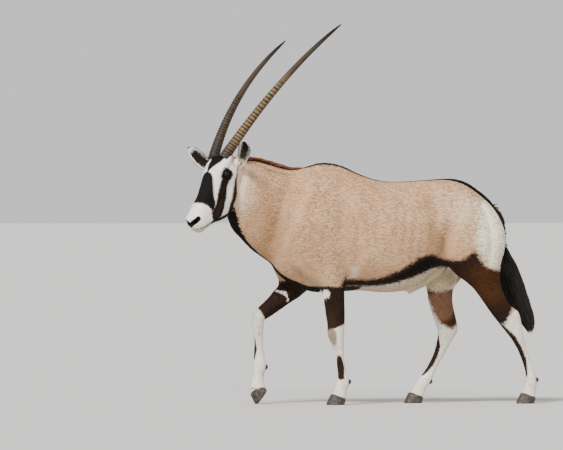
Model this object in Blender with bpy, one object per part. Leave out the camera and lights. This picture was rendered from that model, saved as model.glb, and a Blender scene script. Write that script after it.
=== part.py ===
"""A walking gemsbok bull at life size, as a museum would model it.

Metres, +Z up. The animal faces -X, so its left side is at -Y. The floor is at z = 0.
The body is lofted from cross-sections, fused into one skin, and parted with thin cuts.
"""

import math
from collections import namedtuple

import bmesh
import bpy
import numpy as np
from mathutils import Matrix, Vector

GAP = 0.0003  # clearance between parts that touch
SEED = 7

# Fusing and thinning of the body and of the head
BODY_VOXEL = 0.009
BODY_TRIANGLES = 3900
BODY_PASSES = 24
LEG_TOP = (0.42, 0.58)  # between these heights the smoothing fades from full to LEG_SHARE
LEG_SHARE = 0.10
HEAD_VOXEL = 0.0045
HEAD_TRIANGLES = 1900
HEAD_PASSES = 16

# The head in its own frame: nose towards -X, crown up, and its origin between the horns
HEAD_PLACE = Vector((-0.755, -0.130, 1.2355))
HEAD_TURN = math.radians(31)
HEAD_PITCH = math.radians(52)
HEAD_ROLL = math.radians(-3)
HEAD_MATRIX = (
    Matrix.Translation(HEAD_PLACE)
    @ Matrix.Rotation(HEAD_TURN, 4, "Z")
    @ Matrix.Rotation(-HEAD_PITCH, 4, "Y")
    @ Matrix.Rotation(HEAD_ROLL, 4, "X")
)

# Eyes and lids, in the head's frame
EYE_RADIUS = 0.0200
EYE_PLACE = Vector((-0.078, 0.0640, -0.041))
EYE_LOOK = Vector((-0.36, 0.92, 0.10))
LID_THICKNESS = 0.0032
LID_LENGTH = 0.0205
LID_OPENING = 0.0145
LID_LINE = Vector((-0.90, 0, 0.42))  # the line from the eye's rear corner to its front one
LOWER_LID = 0.8  # the lower lid's bend beside the upper one's

# Mouth and nostrils, in the head's frame
MOUTH_CORNER = Vector((-0.285, 0.052, -0.116))
MOUTH_FRONT = Vector((-0.398, 0, -0.090))
MOUTH_DEPTH = 0.009
MOUTH_HEIGHT = 0.0032
NOSTRIL_PATH = [
    (-0.343, 0.0460, -0.0410, 0.0060), (-0.357, 0.0400, -0.0440, 0.0085),
    (-0.370, 0.0300, -0.0470, 0.0085), (-0.380, 0.0180, -0.0500, 0.0065),
    (-0.387, 0.0070, -0.0550, 0.0045),
]

# Horns: an arc that bends back, spreading less towards the tips
HORN_LENGTH = {"left": 0.979, "right": 0.850}
HORN_PLACE = Vector((0.002, 0.0437, -0.002))
HORN_RISE = (5.1, -22.1)
HORN_SPREAD = (15.2, -3.0)
HORN_RADII = (
    (0, 0.05, 0.2, 0.4, 0.6, 0.8, 0.92, 0.98, 1),
    (0.0285, 0.0265, 0.0225, 0.0185, 0.0152, 0.0120, 0.0082, 0.0040, 0.0005),
)
HORN_RINGS = 30
HORN_RINGED_SHARE = 0.58
HORN_RING_CROWDING = 1.22  # above 1, the rings lie closer together towards the base
HORN_RING_HEIGHT = 0.0018
HORN_SIDES = 8
HORN_FLATNESS = 0.94
HORN_ROOT = 0.012  # how far a horn reaches below its rim before it is seated

# Ears: the way each is held in the head's frame, and tables along the ear from root to tip
EAR_LENGTH = 0.200
EAR_ROOT = 0.02  # how far an ear reaches below its rim before it is seated
EAR_REACH = ((0, 0.15, 0.45, 0.7, 0.85, 1), (0.019, 0.022, 0.031, 0.038, 0.036, 0.029))
EAR_WRAP = ((0, 0.2, 0.5, 0.8, 0.92, 1), (165, 125, 88, 68, 48, 12))
EAR_WALL = ((0, 0.12, 0.3, 1), (0.015, 0.009, 0.0042, 0.0024))
EAR_BOW = (0.012, 0.030)  # the bend of its middle line: back half way up, forward at the tip
EAR_PLACE = Vector((0.012, 0.072, -0.086))
EAR_AIM = {"left": Vector((0.17, -0.72, 0.67)), "right": Vector((0.12, 0.76, 0.63))}
EAR_SAG = {"left": Vector((0, 0, 0)), "right": Vector((-0.027, 0, -0.021))}
EAR_CUP = {"left": Vector((-0.85, -0.15, 0.40)), "right": Vector((-0.45, -0.45, 0.70))}

# Claws: two to a foot
CLAW_LENGTH = 0.090
CLAW_HEIGHT = 0.052
CLAW_WIDTH = 0.036
CLAW_CLEFT = 0.006
CLAW_INNER_SHARE = 0.16  # how full its flat inner side is beside its outer side
CLAW_FLAT = 0.004  # height of its bearing edge
CLAW_LEVELS = ((0, 0.92, 0), (0, 1, 0), (0.6, 0.91, 0.009), (1, 0.80, 0.015))

# Each foot: where its claws stand, and how far the toes turn out and tip down in degrees
FEET = {
    "fore_left": (Vector((-0.160, -0.105, 0)), 0, 0),
    "fore_right": (Vector((-0.490, 0.114, 0.0335)), 0, 54),
    "hind_left": (Vector((0.817, -0.096, 0)), 0, 0),
    "hind_right": (Vector((0.282, 0.089, 0)), 0, 0),
}

# Tail: the dock and the tuft's middle line, each as x, y, z and radius
DOCK = [
    (0.662, 0, 0.985, 0.016), (0.696, 0, 0.953, 0.018), (0.715, 0, 0.915, 0.015),
    (0.722, 0, 0.870, 0.013), (0.725, 0, 0.825, 0.012), (0.732, 0, 0.780, 0.011),
    (0.740, 0, 0.735, 0.010),
]
TUFT = [
    (0.735, 0, 0.800, 0.010), (0.741, 0, 0.755, 0.022), (0.752, 0, 0.690, 0.042),
    (0.768, 0, 0.620, 0.052), (0.790, 0, 0.550, 0.053), (0.822, 0, 0.475, 0.048),
    (0.852, 0, 0.410, 0.032), (0.868, 0, 0.350, 0.012),
]
TUFT_CORE = 0.5  # the core's share of the tuft's radius
TUFT_TIERS = ((0.04, 0.44, 5), (0.22, 0.46, 6), (0.38, 0.48, 6), (0.53, 0.47, 5))
TUFT_LOCK_WIDTH = 0.040
TUFT_LOCK_THICKNESS = 0.010
LOCK_TAPER = (0.70, 1.0, 0.88, 0.55, 0.05)

# Mane: a low ridge that carries short locks
MANE_LOCKS = 15
MANE_LOCK_LENGTH = 0.060
MANE_LOCK_RISE = 0.012
MANE_LOCK_ROOT = 0.006
MANE_LOCK_LEAN = 0.014
MANE_LOCK_WIDTH = 0.022
MANE_LOCK_THICKNESS = 0.006

# A cross-section: the ends of its long axis, its middle across, its half width, the share
# of the height at which it is widest, how square its two halves are, and its turn
Station = namedtuple(
    "Station",
    "x_top z_top x_low z_low y half widest square_top square_low turn",
    defaults=(0.5, 2.0, 2.0, 0.0),
)

TRUNK = [
    Station(-0.440, 1.060, -0.490, 0.770, 0, 0.080),
    Station(-0.400, 1.130, -0.445, 0.665, 0, 0.128, 0.45, 1.8),
    Station(-0.330, 1.172, -0.360, 0.597, 0, 0.160, 0.42, 1.7),
    Station(-0.215, 1.206, -0.250, 0.558, 0, 0.178, 0.40, 1.7, 2.1),
    Station(-0.110, 1.190, -0.120, 0.560, 0, 0.194, 0.42, 1.8, 2.1),
    Station(-0.010, 1.145, -0.010, 0.565, 0, 0.210, 0.45, 1.9, 2.1),
    Station(0.090, 1.117, 0.090, 0.556, 0, 0.220, 0.47, 2.0, 2.1),
    Station(0.190, 1.113, 0.190, 0.560, 0, 0.222, 0.47, 2.0, 2.1),
    Station(0.300, 1.120, 0.290, 0.595, 0, 0.212, 0.48, 2.0, 2.0),
    Station(0.400, 1.126, 0.370, 0.650, 0, 0.196, 0.50, 2.0, 2.0),
    Station(0.460, 1.124, 0.440, 0.685, 0, 0.186, 0.50, 2.0, 2.0),
    Station(0.520, 1.106, 0.510, 0.700, 0, 0.178, 0.50, 2.0, 2.0),
    Station(0.590, 1.060, 0.580, 0.710, 0, 0.164, 0.50, 2.0, 2.0),
    Station(0.650, 1.008, 0.640, 0.730, 0, 0.142, 0.50, 2.0, 2.0),
    Station(0.695, 0.945, 0.690, 0.765, 0, 0.105, 0.50, 2.0, 2.0),
    Station(0.712, 0.895, 0.710, 0.810, 0, 0.055, 0.50, 2.0, 2.0),
]

NECK = [
    Station(-0.680, 1.195, -0.730, 1.060, -0.088, 0.050, 0.5, 2, 2, 28),
    Station(-0.640, 1.222, -0.722, 0.990, -0.083, 0.072, 0.5, 1.9, 2, 26),
    Station(-0.585, 1.222, -0.694, 0.925, -0.074, 0.084, 0.5, 1.8, 2, 22),
    Station(-0.522, 1.211, -0.672, 0.870, -0.060, 0.094, 0.48, 1.8, 2, 16),
    Station(-0.452, 1.194, -0.627, 0.825, -0.040, 0.105, 0.46, 1.7, 2, 11),
    Station(-0.380, 1.178, -0.572, 0.772, -0.018, 0.120, 0.44, 1.7, 2, 5),
    Station(-0.306, 1.184, -0.510, 0.730, 0, 0.136, 0.42, 1.7, 2, 0),
    Station(-0.240, 1.185, -0.420, 0.670, 0, 0.142, 0.42, 1.7, 2, 0),
]

# Shoulder and foreleg: "top" is the rear edge and "low" the front edge
FORE_LEFT = [
    Station(-0.130, 1.120, -0.270, 1.130, -0.075, 0.040),
    Station(-0.100, 1.020, -0.320, 1.030, -0.100, 0.074),
    Station(-0.080, 0.920, -0.375, 0.925, -0.112, 0.086),
    Station(-0.075, 0.820, -0.415, 0.815, -0.120, 0.088),
    Station(-0.075, 0.740, -0.400, 0.720, -0.125, 0.082),
    Station(-0.095, 0.670, -0.330, 0.640, -0.128, 0.070),
    Station(-0.112, 0.615, -0.262, 0.600, -0.130, 0.058),
    Station(-0.115, 0.570, -0.237, 0.570, -0.128, 0.051),
    Station(-0.114, 0.520, -0.226, 0.520, -0.125, 0.046),
    Station(-0.113, 0.460, -0.216, 0.460, -0.122, 0.041),
    Station(-0.115, 0.400, -0.205, 0.400, -0.120, 0.037),
    Station(-0.117, 0.345, -0.203, 0.345, -0.118, 0.038),
    Station(-0.117, 0.305, -0.188, 0.305, -0.116, 0.034),
    Station(-0.116, 0.262, -0.165, 0.265, -0.114, 0.026),
    Station(-0.113, 0.212, -0.158, 0.215, -0.112, 0.021),
    Station(-0.101, 0.162, -0.152, 0.165, -0.110, 0.023),
    Station(-0.086, 0.112, -0.157, 0.110, -0.108, 0.031),
    Station(-0.100, 0.064, -0.166, 0.072, -0.106, 0.027),
    Station(-0.104, 0.022, -0.184, 0.034, -0.105, 0.033),
]

FORE_RIGHT = [
    Station(-0.130, 1.120, -0.270, 1.130, 0.075, 0.040),
    Station(-0.115, 1.020, -0.335, 1.030, 0.100, 0.074),
    Station(-0.110, 0.920, -0.400, 0.925, 0.112, 0.086),
    Station(-0.120, 0.820, -0.452, 0.815, 0.120, 0.086),
    Station(-0.140, 0.730, -0.458, 0.740, 0.125, 0.080),
    Station(-0.195, 0.620, -0.432, 0.680, 0.130, 0.068),
    Station(-0.279, 0.540, -0.398, 0.605, 0.131, 0.054),
    Station(-0.330, 0.508, -0.430, 0.567, 0.130, 0.049),
    Station(-0.380, 0.475, -0.458, 0.530, 0.128, 0.044),
    Station(-0.444, 0.434, -0.503, 0.488, 0.125, 0.038),
    Station(-0.474, 0.416, -0.536, 0.445, 0.122, 0.037),
    Station(-0.476, 0.392, -0.539, 0.402, 0.120, 0.035),
    Station(-0.479, 0.355, -0.533, 0.362, 0.119, 0.030),
    Station(-0.479, 0.315, -0.527, 0.320, 0.118, 0.024),
    Station(-0.477, 0.270, -0.528, 0.270, 0.117, 0.021),
    Station(-0.471, 0.230, -0.531, 0.230, 0.116, 0.023),
    Station(-0.462, 0.184, -0.533, 0.192, 0.115, 0.030),
    Station(-0.478, 0.130, -0.533, 0.138, 0.115, 0.026),
    Station(-0.462, 0.068, -0.550, 0.078, 0.114, 0.032),
]

HIND_LEFT = [
    Station(0.570, 1.045, 0.410, 1.065, -0.080, 0.045),
    Station(0.670, 0.945, 0.375, 0.965, -0.100, 0.084),
    Station(0.712, 0.850, 0.370, 0.850, -0.112, 0.096),
    Station(0.704, 0.760, 0.385, 0.745, -0.118, 0.094),
    Station(0.684, 0.690, 0.440, 0.660, -0.120, 0.080),
    Station(0.688, 0.605, 0.520, 0.600, -0.119, 0.060),
    Station(0.712, 0.538, 0.575, 0.532, -0.116, 0.047),
    Station(0.746, 0.488, 0.624, 0.466, -0.113, 0.038),
    Station(0.780, 0.462, 0.670, 0.410, -0.111, 0.036),
    Station(0.796, 0.400, 0.703, 0.370, -0.109, 0.033),
    Station(0.810, 0.326, 0.739, 0.325, -0.107, 0.027),
    Station(0.828, 0.266, 0.770, 0.270, -0.105, 0.021),
    Station(0.846, 0.214, 0.794, 0.216, -0.103, 0.020),
    Station(0.862, 0.168, 0.809, 0.170, -0.101, 0.023),
    Station(0.880, 0.116, 0.819, 0.124, -0.099, 0.030),
    Station(0.872, 0.068, 0.812, 0.076, -0.097, 0.026),
    Station(0.872, 0.022, 0.794, 0.034, -0.096, 0.033),
]

HIND_RIGHT = [
    Station(0.560, 1.045, 0.400, 1.065, 0.080, 0.045),
    Station(0.660, 0.945, 0.360, 0.965, 0.100, 0.084),
    Station(0.700, 0.850, 0.345, 0.850, 0.112, 0.096),
    Station(0.665, 0.750, 0.335, 0.745, 0.118, 0.092),
    Station(0.590, 0.675, 0.340, 0.655, 0.118, 0.078),
    Station(0.512, 0.598, 0.352, 0.585, 0.114, 0.060),
    Station(0.494, 0.535, 0.361, 0.535, 0.111, 0.050),
    Station(0.497, 0.490, 0.370, 0.485, 0.108, 0.043),
    Station(0.508, 0.435, 0.385, 0.435, 0.105, 0.038),
    Station(0.522, 0.365, 0.406, 0.378, 0.102, 0.036),
    Station(0.501, 0.328, 0.410, 0.332, 0.100, 0.032),
    Station(0.475, 0.288, 0.403, 0.292, 0.098, 0.026),
    Station(0.447, 0.242, 0.388, 0.246, 0.096, 0.021),
    Station(0.420, 0.196, 0.365, 0.199, 0.094, 0.020),
    Station(0.398, 0.152, 0.340, 0.159, 0.092, 0.023),
    Station(0.378, 0.106, 0.311, 0.121, 0.091, 0.030),
    Station(0.348, 0.062, 0.286, 0.080, 0.090, 0.026),
    Station(0.338, 0.022, 0.258, 0.034, 0.089, 0.033),
]

MANE_RIDGE = [
    Station(-0.655, 1.228, -0.650, 1.195, -0.084, 0.015, 0.4),
    Station(-0.600, 1.229, -0.600, 1.192, -0.075, 0.016, 0.4),
    Station(-0.530, 1.215, -0.530, 1.180, -0.060, 0.016, 0.4),
    Station(-0.453, 1.197, -0.453, 1.170, -0.040, 0.016, 0.4),
    Station(-0.380, 1.183, -0.380, 1.155, -0.018, 0.016, 0.4),
    Station(-0.325, 1.189, -0.325, 1.160, 0, 0.014, 0.4),
]

SHEATH = [
    Station(0.222, 0.552, 0.222, 0.535, 0, 0.010),
    Station(0.250, 0.575, 0.245, 0.543, 0, 0.017),
    Station(0.330, 0.630, 0.330, 0.585, 0, 0.022),
    Station(0.430, 0.720, 0.430, 0.650, 0, 0.028),
]

# The head in its own frame, from nape to lips
HEAD = [
    Station(0.045, -0.045, 0.060, -0.120, 0, 0.036),
    Station(0.022, -0.022, 0.040, -0.168, 0, 0.060, 0.55),
    Station(0.000, -0.002, 0.000, -0.203, 0, 0.070, 0.60, 2.2),
    Station(-0.040, 0.012, -0.060, -0.220, 0, 0.073, 0.64, 2.4, 1.8),
    Station(-0.085, 0.016, -0.115, -0.222, 0, 0.070, 0.66, 2.4, 1.8),
    Station(-0.130, 0.011, -0.170, -0.220, 0, 0.062, 0.64, 2.3, 2.0),
    Station(-0.180, 0.001, -0.222, -0.212, 0, 0.055, 0.60, 2.2, 2.2),
    Station(-0.230, -0.011, -0.262, -0.190, 0, 0.050, 0.57, 2.2, 2.4),
    Station(-0.280, -0.018, -0.300, -0.164, 0, 0.050, 0.58, 2.4, 2.4),
    Station(-0.325, -0.025, -0.335, -0.144, 0, 0.053, 0.57, 2.5, 2.3),
    Station(-0.358, -0.035, -0.366, -0.129, 0, 0.049, 0.54, 2.5, 2.3),
    Station(-0.377, -0.044, -0.384, -0.116, 0, 0.038, 0.52, 2.3, 2.2),
    Station(-0.391, -0.060, -0.394, -0.096, 0, 0.022, 0.50),
]

# Swellings of the head: middle, half sizes, and turn in degrees
HEAD_FORMS = {
    "frontal": ((-0.042, 0.048, -0.020), (0.044, 0.030, 0.024), (0, 8, 0)),
    "cheek": ((-0.115, 0.036, -0.125), (0.075, 0.030, 0.062), (0, -22, 0)),
    "brow": ((-0.080, 0.052, -0.030), (0.046, 0.028, 0.030), (0, 8, 12)),
    "cheekbone": ((-0.122, 0.044, -0.066), (0.070, 0.020, 0.018), (0, -14, -10)),
    "pedicle": ((-0.002, 0.045, -0.020), (0.036, 0.032, 0.026), (0, 0, 0)),
    "ear_root": ((0.014, 0.060, -0.074), (0.030, 0.022, 0.028), (0, 0, 0)),
    "nostril_wing": ((-0.354, 0.026, -0.054), (0.028, 0.020, 0.024), (0, -20, 20)),
    "upper_lip": ((-0.362, 0.020, -0.082), (0.030, 0.024, 0.016), (0, -10, 20)),
    "lower_lip": ((-0.356, 0.012, -0.110), (0.036, 0.024, 0.016), (0, -18, 15)),
}


def material(name, colour, roughness):
    made = bpy.data.materials.new(name)
    made.use_nodes = True
    shader = made.node_tree.nodes["Principled BSDF"]
    shader.inputs["Base Color"].default_value = (*colour, 1)
    shader.inputs["Roughness"].default_value = roughness
    shader.inputs["Metallic"].default_value = 0
    made.diffuse_color = (*colour, 1)
    return made


def make_materials():
    return {
        "tan_coat": material("tan_coat", (0.50, 0.36, 0.27), 0.75),
        "face_coat": material("face_coat", (0.60, 0.56, 0.50), 0.75),
        "leg_coat": material("leg_coat", (0.55, 0.50, 0.45), 0.75),
        "dark_hair": material("dark_hair", (0.02, 0.018, 0.016), 0.6),
        "horn_sheath": material("horn_sheath", (0.16, 0.11, 0.07), 0.45),
        "claw_horn": material("claw_horn", (0.06, 0.05, 0.045), 0.4),
        "eyeball": material("eyeball", (0.02, 0.012, 0.008), 0.08),
    }


def link(name, mesh, finish=None):
    made = bpy.data.objects.new(name, mesh)
    bpy.context.scene.collection.objects.link(made)
    if finish:
        mesh.materials.clear()
        mesh.materials.append(finish)
    return made


def from_points(name, points, faces):
    """A mesh object with its faces turned outwards."""
    mesh = bpy.data.meshes.new(name)
    mesh.from_pydata([tuple(p) for p in points], [], [tuple(f) for f in faces])
    work = bmesh.new()
    work.from_mesh(mesh)
    bmesh.ops.recalc_face_normals(work, faces=work.faces)
    work.to_mesh(mesh)
    work.free()
    return link(name, mesh)


def between(rows, count):
    """Rows spaced evenly along a Catmull-Rom curve through the given rows."""
    rows = np.array(rows, float)
    ends = np.vstack([2 * rows[0] - rows[1], rows, 2 * rows[-1] - rows[-2]])
    place = np.linspace(0, len(rows) - 1, count)
    span = np.minimum(place.astype(int), len(rows) - 2)
    t = (place - span)[:, None]
    a, b, c, d = (ends[span + k] for k in range(4))
    return 0.5 * (
        2 * b + (c - a) * t + (2 * a - 5 * b + 4 * c - d) * t**2
        + (3 * b - a - 3 * c + d) * t**3
    )


def band_faces(rings, sides):
    """Quads between rings of points that follow one another, and a cap at either end."""
    faces = [
        (r * sides + k, r * sides + (k + 1) % sides,
         (r + 1) * sides + (k + 1) % sides, (r + 1) * sides + k)
        for r in range(rings - 1) for k in range(sides)
    ]
    return faces + [tuple(range(sides)), tuple(range((rings - 1) * sides, rings * sides))]


def loft(name, stations, rings, sides):
    """A closed skin over cross-sections that are superellipses, unlike in their two halves."""
    rows = between(stations, rings)
    top = np.stack([rows[:, 0], rows[:, 4], rows[:, 1]], 1)
    low = np.stack([rows[:, 2], rows[:, 4], rows[:, 3]], 1)
    half, widest = rows[:, 5, None, None], rows[:, 6, None]
    turn = np.radians(rows[:, 9])
    across = np.stack([-np.sin(turn), np.cos(turn), np.zeros(len(rows))], 1)
    middle = low + (top - low) * widest
    angle = np.linspace(0, 2 * math.pi, sides, endpoint=False)
    upper = np.sin(angle) > 0
    power = 2 / np.where(upper, rows[:, 7, None], rows[:, 8, None])
    side = np.sign(np.cos(angle)) * np.abs(np.cos(angle)) ** power
    rise = np.abs(np.sin(angle)) ** power
    reach = np.where(upper[None, :, None], (top - middle)[:, None], (low - middle)[:, None])
    points = middle[:, None] + reach * rise[..., None] + across[:, None] * half * side[..., None]
    return from_points(name, points.reshape(-1, 3), band_faces(rings, sides))


def tube(name, path, radii, sides, flatten=1.0, up=(0, 0, 1)):
    """A closed tube along a path, whose ends are points where the radius is nought."""
    path = np.array(path, float)
    tangent = np.gradient(path, axis=0)
    tangent /= np.linalg.norm(tangent, axis=1)[:, None]
    side = np.cross(tangent, np.array(up, float))
    side /= np.linalg.norm(side, axis=1)[:, None]
    rise = np.cross(side, tangent)
    angle = np.linspace(0, 2 * math.pi, sides, endpoint=False)
    radii = np.array(radii, float)[:, None, None]
    points = path[:, None] + radii * (
        side[:, None] * np.cos(angle)[None, :, None]
        + rise[:, None] * np.sin(angle)[None, :, None] * flatten
    )
    made = from_points(name, points.reshape(-1, 3), band_faces(len(path), sides))
    merge_doubles(made)
    return made


def merge_doubles(obj, distance=0.00005):
    work = bmesh.new()
    work.from_mesh(obj.data)
    bmesh.ops.remove_doubles(work, verts=work.verts, dist=distance)
    bmesh.ops.recalc_face_normals(work, faces=work.faces)
    work.to_mesh(obj.data)
    work.free()


def ball(name, centre, radii, turn=(0, 0, 0), segments=20, rings=12):
    """An ellipsoid. The turn is in degrees about X, Y and Z."""
    mesh = bpy.data.meshes.new(name)
    work = bmesh.new()
    bmesh.ops.create_uvsphere(work, u_segments=segments, v_segments=rings, radius=1)
    turned = Matrix.Rotation(math.radians(turn[2]), 4, "Z")
    turned = turned @ Matrix.Rotation(math.radians(turn[1]), 4, "Y")
    turned = turned @ Matrix.Rotation(math.radians(turn[0]), 4, "X")
    place = Matrix.Translation(Vector(centre)) @ turned @ Matrix.Diagonal((*radii, 1))
    bmesh.ops.transform(work, matrix=place, verts=work.verts)
    work.to_mesh(mesh)
    work.free()
    return link(name, mesh)


def both_sides(make, name, centre, radii, turn=(0, 0, 0)):
    """The same form on the left and on the right."""
    x, y, z = centre
    left = make(name + "_l", (x, -abs(y), z), radii, (-turn[0], turn[1], -turn[2]))
    right = make(name + "_r", (x, abs(y), z), radii, turn)
    return [left, right]


def bake(obj):
    """Applies the object's modifiers."""
    graph = bpy.context.evaluated_depsgraph_get()
    mesh = bpy.data.meshes.new_from_object(obj.evaluated_get(graph))
    obj.modifiers.clear()
    obj.data = mesh


def remove(objects):
    for obj in objects:
        bpy.data.objects.remove(obj)


def boolean(target, tools, operation, solver="EXACT"):
    """One Boolean with all the tools at once, which are then removed."""
    group = bpy.data.collections.new("tools")
    bpy.context.scene.collection.children.link(group)
    for tool in tools:
        group.objects.link(tool)
    modifier = target.modifiers.new("boolean", "BOOLEAN")
    modifier.operation = operation
    modifier.operand_type = "COLLECTION"
    modifier.collection = group
    modifier.solver = solver
    bake(target)
    remove(tools)
    bpy.data.collections.remove(group)


def copy_of(obj, name):
    return link(name, obj.data.copy())


def grown(obj, distance):
    """A copy with its surface moved outwards."""
    bigger = copy_of(obj, obj.name + "_grown")
    mesh = bigger.data
    normals = np.array([v.normal for v in mesh.vertices])
    points = np.array([v.co for v in mesh.vertices]) + normals * distance
    mesh.vertices.foreach_set("co", points.astype(np.float32).ravel())
    mesh.update()
    return bigger


def seat_on(piece, carriers, gap=GAP):
    """Cuts the piece's root to the surface that carries it."""
    for carrier in carriers:
        boolean(piece, [grown(carrier, gap * 1.6)], "DIFFERENCE")
    keep_largest(piece)


def shells_of(work):
    """The points of each closed surface in a bmesh."""
    left, shells = set(work.verts), []
    while left:
        shell, todo = set(), [left.pop()]
        while todo:
            vert = todo.pop()
            shell.add(vert)
            near = {e.other_vert(vert) for e in vert.link_edges} & left
            left -= near
            todo.extend(near)
        shells.append(shell)
    return sorted(shells, key=box_size, reverse=True)


def keep_largest(obj):
    """Keeps the largest closed surface."""
    work = bmesh.new()
    work.from_mesh(obj.data)
    loose = [v for shell in shells_of(work)[1:] for v in shell]
    bmesh.ops.delete(work, geom=loose, context="VERTS")
    work.to_mesh(obj.data)
    work.free()


def box_size(shell):
    points = np.array([v.co for v in shell])
    return float((points.max(0) - points.min(0)).sum())


def fuse(name, pieces, voxel):
    """One skin over all the pieces, which are then removed."""
    work = bmesh.new()
    for piece in pieces:
        work.from_mesh(piece.data)
    mesh = bpy.data.meshes.new(name)
    work.to_mesh(mesh)
    work.free()
    remove(pieces)
    made = link(name, mesh)
    modifier = made.modifiers.new("fuse", "REMESH")
    modifier.mode = "VOXEL"
    modifier.voxel_size = voxel
    modifier.adaptivity = 0
    bake(made)
    return made


def relax(obj, passes, softness):
    """Smooths the skin. softness(points) gives each point's share, from 0 to 1."""
    mesh = obj.data
    count = len(mesh.vertices)
    points = np.empty(count * 3)
    mesh.vertices.foreach_get("co", points)
    points = points.reshape(-1, 3)
    ends = np.empty(len(mesh.edges) * 2, int)
    mesh.edges.foreach_get("vertices", ends)
    ends = ends.reshape(-1, 2)
    valence = np.bincount(ends.ravel(), minlength=count)[:, None]
    share = softness(points)[:, None]
    for _ in range(passes):
        total = np.zeros_like(points)
        for axis in range(3):
            total[:, axis] = np.bincount(ends[:, 0], points[ends[:, 1], axis], count)
            total[:, axis] += np.bincount(ends[:, 1], points[ends[:, 0], axis], count)
        points += 0.5 * share * (total / valence - points)
    mesh.vertices.foreach_set("co", points.ravel())
    mesh.update()


def thin_out(obj, triangles):
    """Fewer faces, kept where the shape turns."""
    modifier = obj.modifiers.new("thin", "DECIMATE")
    obj.data.calc_loop_triangles()
    modifier.ratio = triangles / len(obj.data.loop_triangles)
    modifier.use_collapse_triangulate = True
    bake(obj)


def slab(name, centre, size, normal, thickness=GAP):
    """A plate that is square to the normal. A thin one parts the skin there."""
    mesh = bpy.data.meshes.new(name)
    work = bmesh.new()
    bmesh.ops.create_cube(work, size=1)
    turned = Vector(normal).normalized().to_track_quat("Z", "Y").to_matrix().to_4x4()
    place = Matrix.Translation(Vector(centre)) @ turned
    place = place @ Matrix.Diagonal((size[0], size[1], thickness, 1))
    bmesh.ops.transform(work, matrix=place, verts=work.verts)
    work.to_mesh(mesh)
    work.free()
    return link(name, mesh)


def loose_parts(obj):
    """The closed surfaces of the object, each as its own object."""
    work = bmesh.new()
    work.from_mesh(obj.data)
    made = []
    for shell in shells_of(work):
        order = {v: i for i, v in enumerate(sorted(shell, key=lambda v: v.index))}
        faces = {f for v in shell for f in v.link_faces}
        faces = [[order[v] for v in f.verts] for f in sorted(faces, key=lambda f: f.index)]
        mesh = bpy.data.meshes.new("shell")
        mesh.from_pydata([v.co[:] for v in order], [], faces)
        made.append(link("shell", mesh))
    work.free()
    return made


def centre_of(obj):
    points = np.array([v.co for v in obj.data.vertices])
    return (points.min(0) + points.max(0)) / 2


def body_skin():
    """Trunk, neck and legs in one skin, before it is parted."""
    pieces = [
        loft("trunk", TRUNK, 40, 36),
        loft("neck", NECK, 24, 32),
        loft("fore_left", FORE_LEFT, 60, 20),
        loft("fore_right", FORE_RIGHT, 60, 20),
        loft("hind_left", HIND_LEFT, 60, 20),
        loft("hind_right", HIND_RIGHT, 60, 20),
        loft("sheath", SHEATH, 12, 12),
    ]
    skin = fuse("skin", pieces, BODY_VOXEL)

    low, high = LEG_TOP
    relax(skin, BODY_PASSES, lambda points: np.clip((points[:, 2] - low) / (high - low), LEG_SHARE, 1))
    return skin


def head_skin():
    """The head with its lids, nostrils and mouth, in the head's own frame."""
    pieces = [loft("skull", HEAD, 56, 40)]
    for name, (centre, radii, turn) in HEAD_FORMS.items():
        pieces += both_sides(ball, name, centre, radii, turn)
    skin = fuse("head", pieces, HEAD_VOXEL)
    relax(skin, HEAD_PASSES, lambda points: np.ones(len(points)))
    thin_out(skin, HEAD_TRIANGLES)
    lid, socket = EYE_RADIUS + LID_THICKNESS, EYE_RADIUS + GAP
    places = [mirrored(EYE_PLACE, side) for side in (-1, 1)]
    boolean(skin, [eyeball("lid", place, lid) for place in places], "UNION")
    cuts = [eyeball("socket", place, socket) for place in places]
    cuts += [lid_opening(-1), lid_opening(1), mouth_line()]
    cuts += [nostril(-1), nostril(1)]
    boolean(skin, cuts, "DIFFERENCE")
    keep_largest(skin)
    return skin


def eyeball(name, place, radius):
    return ball(name, place, (radius,) * 3, segments=16, rings=10)


def nostril(side):
    """A slanting slit, from the outer wing of the nostril to the front."""
    rows = between(NOSTRIL_PATH, 6)
    return tube("nostril", rows[:, :3] * (1, side, 1), rows[:, 3], 6, 0.9, (1, 0, 1))


def mirrored(vector, side):
    return Vector((vector.x, vector.y * side, vector.z))


def lid_opening(side, corners=7):
    """An almond-shaped prism that opens the lids. Side is -1 on the left and 1 on the right."""
    look = mirrored(EYE_LOOK, side).normalized()
    line = (LID_LINE - look * LID_LINE.dot(look)).normalized()
    rise = look.cross(line)
    edge = np.linspace(-1, 1, corners)
    upper = [(t * LID_LENGTH, LID_OPENING * (1 - t * t)) for t in edge]
    lower = [(t * LID_LENGTH, -LID_OPENING * LOWER_LID * (1 - t * t)) for t in edge[-2:0:-1]]
    ring = upper + lower
    place = mirrored(EYE_PLACE, side)
    points = [
        place + look * reach + line * a * spread + rise * b * spread
        for reach, spread in ((0.004, 0.8), (0.05, 1.4)) for a, b in ring
    ]
    return from_points("opening", points, band_faces(2, len(ring)))


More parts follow.
